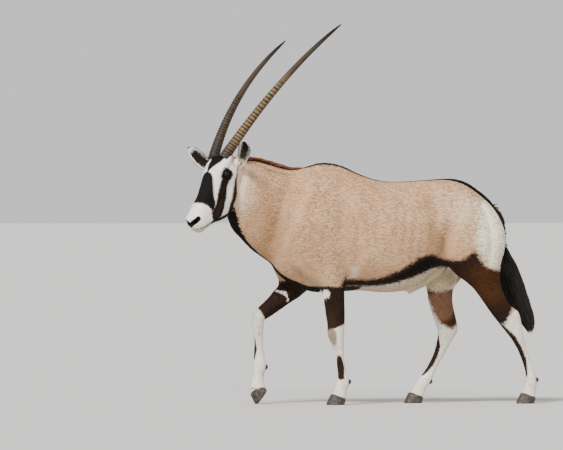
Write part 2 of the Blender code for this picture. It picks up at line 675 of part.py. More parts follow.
def mouth_line(steps=18):
    """A wedge bent round the muzzle, whose thin edge lies inside the lips."""
    turn = np.linspace(-math.pi / 2, math.pi / 2, steps)
    points = []
    for t in turn:
        back = 1 - math.cos(t) ** 0.62
        x = MOUTH_FRONT.x + (MOUTH_CORNER.x - MOUTH_FRONT.x) * back
        y = MOUTH_CORNER.y * math.sin(t)
        z = MOUTH_FRONT.z + (MOUTH_CORNER.z - MOUTH_FRONT.z) * back
        inward = Vector((0.9 * math.cos(t), -math.sin(t), 0)).normalized()
        fade = 1 - 0.75 * back
        edge = Vector((x, y, z))
        deep = edge + inward * (0.006 + MOUTH_DEPTH * fade)
        wide = edge - inward * 0.012
        points += [
            deep + Vector((0, 0, 0.0004)), wide + Vector((0, 0, MOUTH_HEIGHT)),
            wide - Vector((0, 0, MOUTH_HEIGHT)), deep - Vector((0, 0, 0.0004)),
        ]
    return from_points("mouth", points, band_faces(steps, 4))


def horn(name, side):
    """An arc of shrinking rings: raised ridges low down, then a smooth tip."""
    length = HORN_LENGTH[name]
    ringed = length * HORN_RINGED_SHARE
    place = np.arange(0.25, HORN_RINGS, 0.5) / HORN_RINGS
    rings = ringed * place**HORN_RING_CROWDING
    tip = np.linspace(ringed, length, 11)[1:]
    marks = np.concatenate([[0], rings, tip])
    radii = np.interp(marks / length, *HORN_RADII)
    ridge = np.where(np.arange(len(rings)) % 2, 1, -1) * HORN_RING_HEIGHT * (1 - 0.5 * rings / ringed)
    radii[1:len(rings) + 1] += ridge
    radii[-1] = 0
    fine = np.linspace(0, length, 200)
    rise = np.radians(HORN_RISE[0] + (HORN_RISE[1] - HORN_RISE[0]) * fine)
    spread = np.radians(HORN_SPREAD[0] + (HORN_SPREAD[1] - HORN_SPREAD[0]) * fine)
    aim = np.stack([
        np.cos(rise) * np.cos(spread), side * np.sin(spread), np.sin(rise) * np.cos(spread)
    ], 1)
    run = np.vstack([np.zeros(3), np.cumsum((aim[1:] + aim[:-1]) / 2 * fine[1], 0)])
    path = np.stack([np.interp(marks, fine, run[:, k]) for k in range(3)], 1)
    path += np.array(mirrored(HORN_PLACE, side))
    path[0] -= aim[0] * HORN_ROOT
    return tube("horn_" + name, path, radii, HORN_SIDES, HORN_FLATNESS, (0, 0.05, 1))


def ear(name, side):
    """A leaf rolled into a cup, thick at its root and thin at its rim."""
    rows, cols = 12, 9
    aim = EAR_AIM[name].normalized()
    cup = EAR_CUP[name]
    cup = (cup - aim * cup.dot(aim)).normalized()
    across = aim.cross(cup)
    share = np.linspace(0, 1, rows)
    reach = np.interp(share, *EAR_REACH)
    wrap = np.radians(np.interp(share, *EAR_WRAP))
    wall = np.interp(share, *EAR_WALL)
    arc = np.linspace(-1, 1, cols)
    place = mirrored(EAR_PLACE, side) - aim * EAR_ROOT
    outer, inner = [], []
    for row in range(rows):
        bow = EAR_BOW[1] * share[row] ** 2 - EAR_BOW[0] * math.sin(3 * share[row])
        middle = place + aim * (EAR_LENGTH + EAR_ROOT) * share[row] + cup * bow
        middle += EAR_SAG[name] * math.sin(math.pi * share[row])
        for t in arc:
            angle = t * wrap[row]
            outward = across * math.sin(angle) - cup * math.cos(angle)
            outer.append(middle + outward * reach[row])
            inner.append(middle + outward * (reach[row] - wall[row]))
    count = rows * cols
    faces = []
    for row in range(rows - 1):
        for col in range(cols - 1):
            a, b = row * cols + col, row * cols + col + 1
            c, d = b + cols, a + cols
            faces += [(a, b, c), (a, c, d)]
            faces += [(count + a, count + c, count + b), (count + a, count + d, count + c)]
    border = [r * cols for r in range(rows)]
    border += [(rows - 1) * cols + c for c in range(1, cols)]
    border += [r * cols + cols - 1 for r in range(rows - 2, -1, -1)]
    border += [c for c in range(cols - 2, 0, -1)]
    for k, a in enumerate(border):
        b = border[(k + 1) % len(border)]
        faces += [(a, b, count + b), (a, count + b, count + a)]
    return from_points("ear_" + name, outer + inner, faces)


def claw(name, place, turn, tip, outer):
    """One claw, toe towards -X, flat beneath and flat towards its fellow."""
    share = np.cos(np.linspace(0, math.pi, 7))
    bulge = (1 - np.abs(share) ** 2.4) ** 0.62
    share = np.concatenate([share, share[-2:0:-1]])
    bulge = np.concatenate([bulge, -CLAW_INNER_SHARE * bulge[-2:0:-1]])
    points = []
    for row, (level, size, back) in enumerate(CLAW_LEVELS):
        x = share * CLAW_LENGTH / 2 * size + back
        reach = CLAW_INNER_SHARE + bulge * (1 - CLAW_INNER_SHARE) * size
        y = outer * (CLAW_CLEFT / 2 + CLAW_WIDTH * reach)
        z = level * CLAW_HEIGHT * (0.80 - 0.20 * share) + CLAW_FLAT * (row == 1)
        points.append(np.stack([x, y, z], 1))
    made = from_points(name, np.vstack(points), band_faces(len(CLAW_LEVELS), len(share)))
    merge_doubles(made, 0.0002)
    turned = Matrix.Translation(place) @ Matrix.Rotation(math.radians(turn), 4, "Z")
    made.data.transform(turned @ Matrix.Rotation(math.radians(-tip), 4, "Y"))
    if tip:
        below = (place.x, place.y, -CLAW_LENGTH / 2)
        size = (CLAW_LENGTH * 2, CLAW_LENGTH * 2)
        boolean(made, [slab("ground", below, size, (0, 0, 1), CLAW_LENGTH)], "DIFFERENCE")
    return made


def claws():
    made = {}
    for foot, (place, turn, tip) in FEET.items():
        side = -1 if foot.endswith("left") else 1
        for word, outer in (("outer", side), ("inner", -side)):
            name = f"claw_{foot}_{word}"
            made[name] = claw(name, place, turn, tip, outer)
    return made


def lock(name, path, width, thickness, outward):
    """A flat, tapered lock of hair along a path. Its flat side faces outward."""
    return tube(name, path, width / 2 * np.array(LOCK_TAPER), 4, thickness / width, outward)


def along(rows, share):
    """The point at a share of the way along rows that are evenly spaced."""
    place = np.clip(share, 0, 1) * (len(rows) - 1)
    return np.array([np.interp(place, np.arange(len(rows)), column) for column in rows.T])


def tail():
    """The dock, the core of the tuft, and tiers of locks that hang along it."""
    rows = between(DOCK, 14)
    dock = tube("dock", rows[:, :3], rows[:, 3], 8, up=(1, 0, 0.1))
    axis = between(TUFT, 40)
    core = axis[:28]
    share = np.linspace(0, 1, len(core))
    radii = core[:, 3] * TUFT_CORE * (1 - share**4) + 0.001
    pieces = [tube("core", core[::2, :3], radii[::2], 8, up=(1, 0, 0.1))]
    rng = np.random.default_rng(SEED)
    for tier, (start, length, count) in enumerate(TUFT_TIERS):
        for k in range(count):
            angle = 2 * math.pi * (k + 0.5 * (tier % 2)) / count + rng.uniform(-0.25, 0.25)
            outward = np.array((math.cos(angle), math.sin(angle), 0))
            first = start + rng.uniform(-0.03, 0.03)
            last = min(first + length * rng.uniform(0.85, 1.1), 1.0)
            path = []
            for t in np.linspace(0, 1, 5):
                row = along(axis, first + (last - first) * t)
                spread = row[3] * (0.15 + 0.85 * math.sin(min(1, 1.5 * t) * math.pi / 2))
                sway = rng.uniform(-0.004, 0.004)
                path.append(row[:3] + outward * (spread + sway))
            width = TUFT_LOCK_WIDTH * rng.uniform(0.8, 1.2)
            pieces.append(lock("lock", path, width, TUFT_LOCK_THICKNESS, outward))
    boolean(dock, pieces, "UNION")
    keep_largest(dock)
    return dock


def mane():
    """Short locks that lie back along the crest of the neck, on a low ridge of hair."""
    made = loft("mane", MANE_RIDGE, 12, 6)
    rows = between([(r.x_top, r.y, r.z_top) for r in MANE_RIDGE], 60)
    rng = np.random.default_rng(SEED + 1)
    pieces = []
    for k in range(MANE_LOCKS):
        share = (k + 0.5) / MANE_LOCKS
        lean = (-1) ** k * rng.uniform(0.5, 1.0)
        length = MANE_LOCK_LENGTH * rng.uniform(0.85, 1.15) * (1 - 0.35 * share)
        root = along(rows, share - 0.02)
        ahead = along(rows, share + 0.06) - along(rows, share - 0.02)
        ahead /= np.linalg.norm(ahead)
        path = []
        for t in np.linspace(0, 1, 5):
            rise = MANE_LOCK_RISE * math.sin(min(1, 1.3 * t) * math.pi / 2) - MANE_LOCK_ROOT
            path.append(root + ahead * length * t + np.array((0, lean * MANE_LOCK_LEAN * t, rise)))
        pieces.append(lock("lock", path, MANE_LOCK_WIDTH, MANE_LOCK_THICKNESS, (0, lean, 1)))
    boolean(made, pieces, "UNION")
    keep_largest(made)
    return made


PARTS = {
    "neck_torso": ((-0.435, 0, 0.950), (0.60, 0.62), (0.956, 0, -0.293)),
    "fore_left": ((-0.172, -0.125, 0.548), (0.20, 0.20), (0, 0, 1)),
    "fore_right": ((-0.336, 0.130, 0.571), (0.19, 0.20), (0.50, 0, 0.866)),
    "hind_left": ((0.602, -0.120, 0.600), (0.19, 0.30), (0, 0, 1)),
    "hind_right": ((0.440, 0.135, 0.604), (0.22, 0.24), (0, 0, 1)),
}


def part_body(skin):
    """Cuts the skin into torso, neck and four legs."""
    cuts = [slab(name, *values) for name, values in PARTS.items()]
    boolean(skin, cuts, "DIFFERENCE")
    made = {}
    for piece in loose_parts(skin):
        x, y, z = centre_of(piece)
        if z < 0.5:
            name = "foreleg" if x < 0.1 else "hindleg"
            made[f"{name}_{'left' if y < 0 else 'right'}"] = piece
        else:
            made["neck" if x < -0.35 else "torso"] = piece
    remove([skin])
    return made


def main():
    remove(list(bpy.data.objects))
    finish = make_materials()
    skin = body_skin()
    thin_out(skin, BODY_TRIANGLES)
    nodes = part_body(skin)
    head = head_skin()
    head.data.transform(HEAD_MATRIX)
    boolean(nodes["neck"], [grown(head, GAP * 1.5)], "DIFFERENCE")
    keep_largest(nodes["neck"])
    nodes["head"] = head
    for name, side in (("left", -1), ("right", 1)):
        eye = eyeball("eye_" + name, mirrored(EYE_PLACE, side), EYE_RADIUS)
        for made in (eye, horn(name, side), ear(name, side)):
            key = made.name
            made.data.transform(HEAD_MATRIX)
            if not key.startswith("eye"):
                seat_on(made, [head])
            nodes[key] = made
    nodes.update(claws())
    for foot in FEET:
        leg = nodes[("foreleg_" if foot.startswith("fore") else "hindleg_") + foot.split("_")[1]]
        boolean(leg, [grown(nodes[f"claw_{foot}_{w}"], GAP) for w in ("outer", "inner")], "DIFFERENCE")
        keep_largest(leg)
    nodes["tail"] = tail()
    seat_on(nodes["tail"], [nodes["torso"], nodes["hindleg_left"]])
    nodes["mane"] = mane()
    seat_on(nodes["mane"], [nodes["neck"], nodes["torso"], head])
    centre_all(list(nodes.values()))
    for name, obj in nodes.items():
        obj.name = name
        obj.data.name = name
        obj.data.materials.clear()
        obj.data.materials.append(finish[finish_of(name)])


def centre_all(objects):
    """Stands the animal on z = 0 with the middle of its box over the origin."""
    points = np.vstack([[v.co[:] for v in obj.data.vertices] for obj in objects])
    low, high = points.min(0), points.max(0)
    shift = Matrix.Translation((-(low[0] + high[0]) / 2, -(low[1] + high[1]) / 2, -low[2]))
    for obj in objects:
        obj.data.transform(shift)


def finish_of(name):
    if name.startswith("claw"):
        return "claw_horn"
    if name.startswith("horn"):
        return "horn_sheath"
    if name.startswith("eye"):
        return "eyeball"
    if name in ("tail", "mane"):
        return "dark_hair"
    if "leg" in name:
        return "leg_coat"
    return "face_coat" if name == "head" or name.startswith("ear") else "tan_coat"


main()
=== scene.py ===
"""The looks of a walking gemsbok bull at life size: its skin, coat, markings, horns and eyes.

The forms are worked out in the part's drawing frame (metres, +Z up, the animal faces -X and
its left side is at -Y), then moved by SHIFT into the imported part's own frame.
"""

import math
from collections import namedtuple

import bmesh
import bpy
import numpy as np
from mathutils import Matrix, Vector
from mathutils.bvhtree import BVHTree


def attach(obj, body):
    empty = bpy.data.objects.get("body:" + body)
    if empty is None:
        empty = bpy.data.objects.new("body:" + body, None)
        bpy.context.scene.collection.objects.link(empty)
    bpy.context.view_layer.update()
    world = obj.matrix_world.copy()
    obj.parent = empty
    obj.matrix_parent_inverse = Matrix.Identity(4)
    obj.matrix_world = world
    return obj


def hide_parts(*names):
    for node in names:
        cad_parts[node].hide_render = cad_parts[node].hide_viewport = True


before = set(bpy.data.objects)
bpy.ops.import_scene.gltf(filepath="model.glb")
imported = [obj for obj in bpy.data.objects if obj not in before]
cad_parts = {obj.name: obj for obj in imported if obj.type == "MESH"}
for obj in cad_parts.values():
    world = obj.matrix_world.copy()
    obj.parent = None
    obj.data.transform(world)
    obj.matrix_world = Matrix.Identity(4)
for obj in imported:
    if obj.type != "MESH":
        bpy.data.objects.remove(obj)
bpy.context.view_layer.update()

MM = 0.001
SEED = 11

# Resolution of the skin
BODY_VOXEL = 0.0085
HEAD_VOXEL = 0.0031
COAT_SHARE = 1.0
# Passes of smoothing, so many that it reaches as far whatever the voxel
BODY_PASSES = int(24 * (0.009 / BODY_VOXEL) ** 2)
HEAD_PASSES = int(16 * (0.0045 / HEAD_VOXEL) ** 2)
SEAM_PASSES = 14
# The seam between head and neck, from the jaw's root: its stretch along the head and its top
SEAM_ALONG, SEAM_TOP = (-0.035, -0.005, 0.060, 0.100), (0.06, 0.075)
# The skin is smoothed fully above the knees, and less and less down this stretch
SMOOTH_FROM, SMOOTH_SPAN, SMOOTH_LEAST = 0.42, 0.16, 0.10

# How deep the coat is, so how far the skin lies inside the solids
BODY_COAT = 2.0 * MM
LEG_COAT = 1.2 * MM
HEAD_COAT = 0.6 * MM

# The head's own frame: nose towards -X, crown up, and its origin between the horns
HEAD_PLACE = Vector((-0.755, -0.130, 1.2355))
HEAD_MATRIX = (
    Matrix.Translation(HEAD_PLACE)
    @ Matrix.Rotation(math.radians(31), 4, "Z")
    @ Matrix.Rotation(math.radians(-52), 4, "Y")
    @ Matrix.Rotation(math.radians(-3), 4, "X")
)
HEAD_TURN = np.array(HEAD_MATRIX.to_3x3())
JAW_ROOT = Vector((0, 0, -0.11))  # where the head meets the neck, in the head's frame
DOCK_ROOT = (0.690, 0, 0.955)
EYE_RADIUS = 0.0200
EYE_PLACE = Vector((-0.078, 0.0640, -0.041))
EYE_LOOK = Vector((-0.36, 0.92, 0.10))
EYE_BULGE = 0.035
PUPIL_HALF = (20.0, 9.0)  # in degrees
LID_THICKNESS = 0.0032
LID_LENGTH = 0.0215
LID_OPENING = 0.0140
LOWER_LID = 0.74  # the lower lid's bend beside the upper one's
LID_LINE = Vector((-0.90, 0, 0.42))  # from the eye's rear corner to its front one
MOUTH_CORNER = Vector((-0.285, 0.052, -0.116))
MOUTH_FRONT = Vector((-0.398, 0, -0.090))
MOUTH_DEPTH = 0.010
MOUTH_HEIGHT = 0.0028
# The slit of a nostril from its outer wing to the front, with its half width
NOSTRIL_PATH = (
    (-0.353, 0.0450, -0.0490, 0.0060),
    (-0.363, 0.0395, -0.0500, 0.0085),
    (-0.374, 0.0290, -0.0505, 0.0085),
    (-0.3815, 0.0175, -0.0515, 0.0065),
    (-0.387, 0.0070, -0.0550, 0.0045),
)

# Horns: an arc that bends back, spreading less towards the tips
HORN_LENGTH = {"left": 0.979, "right": 0.850}
HORN_PLACE = Vector((0.002, 0.0437, -0.002))
HORN_RISE = (5.1, -22.1)
HORN_SPREAD = (15.2, -3.0)
HORN_RADII = (
    (0, 0.05, 0.2, 0.4, 0.6, 0.8, 0.92, 0.98, 1),
    (0.0285, 0.0265, 0.0225, 0.0185, 0.0152, 0.0120, 0.0082, 0.0040, 0.0003),
)
HORN_RINGS = 30
HORN_RINGED_SHARE = 0.58
HORN_RING_CROWDING = 1.22  # above 1, the rings lie closer together towards the base
HORN_RING_HEIGHT = 1.8 * MM
HORN_FLATNESS = 0.94
HORN_ROOT = 0.012
HORN_WEAR_AND_LIGHT = {"left": 1.0, "right": 0.3}  # how tan the ridges are: partly wear, partly painted light on the near horn and painted shade on the far one

# Ears: the way each is held in the head's frame, and tables along the ear from root to tip
EAR_SIDES = {"left": -1, "right": 1}
EAR_LENGTH = 0.200
EAR_ROOT = 0.02
EAR_REACH = ((0, 0.15, 0.45, 0.7, 0.85, 1), (0.019, 0.022, 0.031, 0.038, 0.036, 0.027))
EAR_WRAP = ((0, 0.2, 0.5, 0.8, 0.92, 1), (165, 125, 88, 68, 48, 10))
EAR_WALL = ((0, 0.12, 0.3, 1), (0.015, 0.009, 0.0042, 0.0022))
EAR_BOW = (0.012, 0.030)
EAR_RIDGE = 0.8 * MM
EAR_PLACE = Vector((0.012, 0.072, -0.086))
EAR_AIM = {"left": Vector((0.17, -0.72, 0.67)), "right": Vector((0.12, 0.76, 0.63))}
EAR_SAG = {"left": Vector((0, 0, 0)), "right": Vector((-0.027, 0, -0.021))}
EAR_CUP = {"left": Vector((-0.85, -0.15, 0.40)), "right": Vector((-0.45, -0.45, 0.70))}

CLAW_LENGTH = 0.090
CLAW_HEIGHT = 0.052
CLAW_WIDTH = 0.036
CLAW_CLEFT = 0.006
# Each foot: where its claws stand, and how many degrees they tip down
FEET = {
    "fore_left": (Vector((-0.160, -0.105, 0)), 0),
    "fore_right": (Vector((-0.490, 0.114, 0.0335)), 54),
    "hind_left": (Vector((0.817, -0.096, 0)), 0),
    "hind_right": (Vector((0.282, 0.089, 0)), 0),
}
# Where the small claws behind each fetlock stand out
DEWCLAWS = {
    "fore_left": (-0.094, -0.110, 0.114),
    "fore_right": (-0.470, 0.115, 0.184),
    "hind_left": (0.872, -0.099, 0.118),
    "hind_right": (0.370, 0.091, 0.108),
}


def mirrored(vector, side):
    """The place on the given side: -1 is the left, 1 the right."""
    return Vector((vector.x, vector.y * side, vector.z))


def points_of(obj, key="co"):
    """The places of the object's points, or their normals, as rows."""
    values = np.empty(len(obj.data.vertices) * 3)
    obj.data.vertices.foreach_get(key, values)
    return values.reshape(-1, 3)


def middle_of(node):
    """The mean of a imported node's vertices."""
    return Vector(points_of(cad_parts[node]).mean(0))


SHIFT = middle_of("eye_left") - HEAD_MATRIX @ mirrored(EYE_PLACE, -1)

# A cross-section: the ends of its long axis, its middle across, its half width, the share of
# the height at which it is widest, how square its upper and lower halves are, and its turn
Station = namedtuple(
    "Station",
    "x_top z_top x_low z_low y half widest square_top square_low turn",
    defaults=(0.5, 2.0, 2.0, 0.0),
)


def stations(*rows):
    """Cross-sections, one from each row of numbers."""
    return [Station(*row) for row in rows]


TRUNK = stations(
    (-0.440, 1.060, -0.490, 0.770, 0, 0.080),
    (-0.400, 1.130, -0.445, 0.665, 0, 0.128, 0.45, 1.8),
    (-0.330, 1.172, -0.360, 0.597, 0, 0.160, 0.42, 1.7),
    (-0.215, 1.206, -0.250, 0.558, 0, 0.178, 0.40, 1.7, 2.1),
    (-0.110, 1.190, -0.120, 0.560, 0, 0.194, 0.42, 1.8, 2.1),
    (-0.010, 1.145, -0.010, 0.565, 0, 0.210, 0.45, 1.9, 2.1),
    (0.090, 1.117, 0.090, 0.556, 0, 0.220, 0.47, 2.0, 2.1),
    (0.190, 1.113, 0.190, 0.560, 0, 0.222, 0.47, 2.0, 2.1),
    (0.300, 1.120, 0.290, 0.595, 0, 0.212, 0.48),
    (0.400, 1.126, 0.370, 0.650, 0, 0.196),
    (0.460, 1.124, 0.440, 0.685, 0, 0.186),
    (0.520, 1.106, 0.510, 0.700, 0, 0.178),
    (0.590, 1.060, 0.580, 0.710, 0, 0.164),
    (0.650, 1.008, 0.640, 0.730, 0, 0.142),
    (0.695, 0.945, 0.690, 0.765, 0, 0.105),
    (0.712, 0.895, 0.710, 0.810, 0, 0.055),
)

NECK = stations(
    (-0.680, 1.195, -0.730, 1.060, -0.088, 0.050, 0.5, 2, 2, 28),
    (-0.640, 1.222, -0.722, 0.990, -0.083, 0.072, 0.5, 1.9, 2, 26),
    (-0.585, 1.222, -0.694, 0.925, -0.074, 0.084, 0.5, 1.8, 2, 22),
    (-0.522, 1.211, -0.672, 0.870, -0.060, 0.094, 0.48, 1.8, 2, 16),
    (-0.452, 1.194, -0.627, 0.825, -0.040, 0.105, 0.46, 1.7, 2, 11),
    (-0.380, 1.178, -0.572, 0.772, -0.018, 0.120, 0.44, 1.7, 2, 5),
    (-0.306, 1.184, -0.510, 0.730, 0, 0.136, 0.42, 1.7, 2, 0),
    (-0.240, 1.185, -0.420, 0.670, 0, 0.142, 0.42, 1.7, 2, 0),
)

# Shoulder and foreleg: "top" is the rear edge and "low" the front edge
FORE_LEFT = stations(
    (-0.130, 1.120, -0.270, 1.130, -0.075, 0.040),
    (-0.100, 1.020, -0.320, 1.030, -0.100, 0.074),
    (-0.080, 0.920, -0.375, 0.925, -0.112, 0.086),
    (-0.075, 0.820, -0.415, 0.815, -0.120, 0.088),
    (-0.075, 0.740, -0.400, 0.720, -0.125, 0.082),
    (-0.095, 0.670, -0.330, 0.640, -0.128, 0.070),
    (-0.112, 0.615, -0.262, 0.600, -0.130, 0.058),
    (-0.115, 0.570, -0.237, 0.570, -0.128, 0.051),
    (-0.114, 0.520, -0.226, 0.520, -0.125, 0.046),
    (-0.113, 0.460, -0.216, 0.460, -0.122, 0.041),
    (-0.115, 0.400, -0.205, 0.400, -0.120, 0.037),
    (-0.117, 0.345, -0.203, 0.345, -0.118, 0.038),
    (-0.117, 0.305, -0.188, 0.305, -0.116, 0.034),
    (-0.116, 0.262, -0.165, 0.265, -0.114, 0.026),
    (-0.113, 0.212, -0.158, 0.215, -0.112, 0.021),
    (-0.101, 0.162, -0.152, 0.165, -0.110, 0.023),
    (-0.086, 0.112, -0.157, 0.110, -0.108, 0.031),
    (-0.100, 0.064, -0.166, 0.072, -0.106, 0.027),
    (-0.104, 0.022, -0.184, 0.034, -0.105, 0.033),
)

FORE_RIGHT = stations(
    (-0.130, 1.120, -0.270, 1.130, 0.075, 0.040),
    (-0.115, 1.020, -0.335, 1.030, 0.100, 0.074),
    (-0.110, 0.920, -0.400, 0.925, 0.112, 0.086),
    (-0.120, 0.820, -0.452, 0.815, 0.120, 0.086),
    (-0.140, 0.730, -0.458, 0.740, 0.125, 0.080),
    (-0.195, 0.620, -0.432, 0.680, 0.130, 0.068),
    (-0.279, 0.540, -0.398, 0.605, 0.131, 0.054),
    (-0.330, 0.508, -0.430, 0.567, 0.130, 0.049),
    (-0.380, 0.475, -0.458, 0.530, 0.128, 0.044),
    (-0.444, 0.434, -0.503, 0.488, 0.125, 0.038),
    (-0.474, 0.416, -0.536, 0.445, 0.122, 0.037),
    (-0.476, 0.392, -0.539, 0.402, 0.120, 0.035),
    (-0.479, 0.355, -0.533, 0.362, 0.119, 0.030),
    (-0.479, 0.315, -0.527, 0.320, 0.118, 0.024),
    (-0.477, 0.270, -0.528, 0.270, 0.117, 0.021),
    (-0.471, 0.230, -0.531, 0.230, 0.116, 0.023),
    (-0.462, 0.184, -0.533, 0.192, 0.115, 0.030),
    (-0.478, 0.130, -0.533, 0.138, 0.115, 0.026),
    (-0.462, 0.068, -0.550, 0.078, 0.114, 0.032),
)

HIND_LEFT = stations(
    (0.570, 1.045, 0.410, 1.065, -0.080, 0.045),
    (0.670, 0.945, 0.375, 0.965, -0.100, 0.084),
    (0.712, 0.850, 0.370, 0.850, -0.112, 0.096),
    (0.704, 0.760, 0.385, 0.745, -0.118, 0.094),
    (0.684, 0.690, 0.440, 0.660, -0.120, 0.080),
    (0.688, 0.605, 0.520, 0.600, -0.119, 0.060),
    (0.712, 0.538, 0.575, 0.532, -0.116, 0.047),
    (0.746, 0.488, 0.624, 0.466, -0.113, 0.038),
    (0.780, 0.462, 0.670, 0.410, -0.111, 0.036),
    (0.796, 0.400, 0.703, 0.370, -0.109, 0.033),
    (0.810, 0.326, 0.739, 0.325, -0.107, 0.027),
    (0.828, 0.266, 0.770, 0.270, -0.105, 0.021),
    (0.846, 0.214, 0.794, 0.216, -0.103, 0.020),
    (0.862, 0.168, 0.809, 0.170, -0.101, 0.023),
    (0.880, 0.116, 0.819, 0.124, -0.099, 0.030),
    (0.872, 0.068, 0.812, 0.076, -0.097, 0.026),
    (0.872, 0.022, 0.794, 0.034, -0.096, 0.033),
)

HIND_RIGHT = stations(
    (0.560, 1.045, 0.400, 1.065, 0.080, 0.045),
    (0.660, 0.945, 0.360, 0.965, 0.100, 0.084),
    (0.700, 0.850, 0.345, 0.850, 0.112, 0.096),
    (0.665, 0.750, 0.335, 0.745, 0.118, 0.092),
    (0.590, 0.675, 0.340, 0.655, 0.118, 0.078),
    (0.512, 0.598, 0.352, 0.585, 0.114, 0.060),
    (0.494, 0.535, 0.361, 0.535, 0.111, 0.050),
    (0.497, 0.490, 0.370, 0.485, 0.108, 0.043),
    (0.508, 0.435, 0.385, 0.435, 0.105, 0.038),
    (0.522, 0.365, 0.406, 0.378, 0.102, 0.036),
    (0.501, 0.328, 0.410, 0.332, 0.100, 0.032),
    (0.475, 0.288, 0.403, 0.292, 0.098, 0.026),
    (0.447, 0.242, 0.388, 0.246, 0.096, 0.021),
    (0.420, 0.196, 0.365, 0.199, 0.094, 0.020),
    (0.398, 0.152, 0.340, 0.159, 0.092, 0.023),
    (0.378, 0.106, 0.311, 0.121, 0.091, 0.030),
    (0.348, 0.062, 0.286, 0.080, 0.090, 0.026),
    (0.338, 0.022, 0.258, 0.034, 0.089, 0.033),
)

SHEATH = stations(
    (0.222, 0.552, 0.222, 0.535, 0, 0.010),
    (0.250, 0.575, 0.245, 0.543, 0, 0.017),
    (0.330, 0.630, 0.330, 0.585, 0, 0.022),
    (0.430, 0.720, 0.430, 0.650, 0, 0.028),
)

LEGS = {
    "fore_left": FORE_LEFT,
    "fore_right": FORE_RIGHT,
    "hind_left": HIND_LEFT,
    "hind_right": HIND_RIGHT,
}

# The head in its own frame, from nape to lips
HEAD = stations(
    (0.045, -0.045, 0.060, -0.120, 0, 0.036),
    (0.022, -0.022, 0.040, -0.168, 0, 0.060, 0.55),
    (0.000, -0.002, 0.000, -0.203, 0, 0.070, 0.60, 2.2),
    (-0.040, 0.012, -0.060, -0.220, 0, 0.073, 0.64, 2.4, 1.8),
    (-0.085, 0.016, -0.115, -0.222, 0, 0.070, 0.66, 2.4, 1.8),
    (-0.130, 0.011, -0.170, -0.220, 0, 0.062, 0.64, 2.3, 2.0),
    (-0.180, 0.001, -0.222, -0.212, 0, 0.055, 0.60, 2.2, 2.2),
    (-0.230, -0.011, -0.262, -0.190, 0, 0.050, 0.57, 2.2, 2.4),
    (-0.280, -0.018, -0.300, -0.164, 0, 0.050, 0.58, 2.4, 2.4),
    (-0.325, -0.025, -0.335, -0.144, 0, 0.053, 0.57, 2.5, 2.3),
    (-0.358, -0.035, -0.366, -0.129, 0, 0.049, 0.54, 2.5, 2.3),
    (-0.377, -0.044, -0.384, -0.116, 0, 0.038, 0.52, 2.3, 2.2),
    (-0.391, -0.060, -0.394, -0.096, 0, 0.022, 0.50),
)

# Swellings of the head: middle, half sizes, and turn in degrees
HEAD_FORMS = {
    "frontal": ((-0.042, 0.048, -0.020), (0.044, 0.030, 0.024), (0, 8, 0)),
    "cheek": ((-0.115, 0.036, -0.125), (0.075, 0.030, 0.062), (0, -22, 0)),
    "brow": ((-0.080, 0.052, -0.030), (0.046, 0.028, 0.030), (0, 8, 12)),
    "cheekbone": ((-0.122, 0.044, -0.066), (0.070, 0.020, 0.018), (0, -14, -10)),
    "pedicle": ((-0.002, 0.045, -0.020), (0.036, 0.032, 0.026), (0, 0, 0)),
    "ear_root": ((0.014, 0.060, -0.074), (0.030, 0.022, 0.028), (0, 0, 0)),
    "nostril_wing": ((-0.354, 0.026, -0.054), (0.028, 0.020, 0.024), (0, -20, 20)),
    "upper_lip": ((-0.362, 0.020, -0.082), (0.030, 0.024, 0.016), (0, -10, 20)),
    "lower_lip": ((-0.356, 0.012, -0.110), (0.036, 0.024, 0.016), (0, -18, 15)),
}

# The dock of the tail and the tuft's middle line, each as x, y, z and radius
DOCK = [
    (0.662, 0, 0.985, 0.016),
    (0.696, 0, 0.953, 0.018),
    (0.715, 0, 0.915, 0.015),
    (0.722, 0, 0.870, 0.013),
    (0.725, 0, 0.825, 0.012),
    (0.732, 0, 0.780, 0.011),
    (0.740, 0, 0.735, 0.010),
]
TUFT = [
    (0.735, 0, 0.800, 0.010),
    (0.741, 0, 0.755, 0.022),
    (0.752, 0, 0.690, 0.042),
    (0.768, 0, 0.620, 0.052),
    (0.790, 0, 0.550, 0.053),
    (0.822, 0, 0.475, 0.048),
    (0.852, 0, 0.410, 0.032),
    (0.868, 0, 0.350, 0.012),
]
# The crest of the neck, from the poll to the withers
CREST = [
    (-0.655, -0.084, 1.224),
    (-0.600, -0.075, 1.225),
    (-0.530, -0.060, 1.212),
    (-0.453, -0.040, 1.194),
    (-0.380, -0.018, 1.179),
    (-0.325, 0.000, 1.179),
]


# Mesh tools


def linked(name, data):
    """A new object that holds the data, linked to the scene."""
    made = bpy.data.objects.new(name, data)
    bpy.context.scene.collection.objects.link(made)
    return made


def triangle_mesh(name, points, triangles):
    """A mesh of triangles only, laid in as whole arrays."""
    mesh = bpy.data.meshes.new(name)
    count = len(triangles)
    mesh.vertices.add(len(points))
    mesh.vertices.foreach_set("co", np.asarray(points, np.float32).ravel())
    mesh.loops.add(count * 3)
    mesh.loops.foreach_set("vertex_index", np.asarray(triangles, np.int32).ravel())
    mesh.polygons.add(count)
    mesh.polygons.foreach_set("loop_start", np.arange(0, count * 3, 3, dtype=np.int32))
    mesh.update(calc_edges=True)
    return linked(name, mesh)


def put_points(obj, points):
    """Moves the object's points to the given places."""
    obj.data.vertices.foreach_set("co", np.asarray(points, np.float32).ravel())
    obj.data.update()


def outwards(obj):
    """Turns every face outwards, once doubles are merged."""
    work = bmesh.new()
    work.from_mesh(obj.data)
    bmesh.ops.remove_doubles(work, verts=work.verts, dist=0.02 * MM)
    bmesh.ops.recalc_face_normals(work, faces=work.faces)
    work.to_mesh(obj.data)
    work.free()


def unit(vectors):
    """Each vector divided by its length."""
    return vectors / np.maximum(np.linalg.norm(vectors, axis=-1, keepdims=True), 1e-12)


def turns(count):
    """Even steps of one full turn."""
    return np.linspace(0, 2 * math.pi, count, endpoint=False)


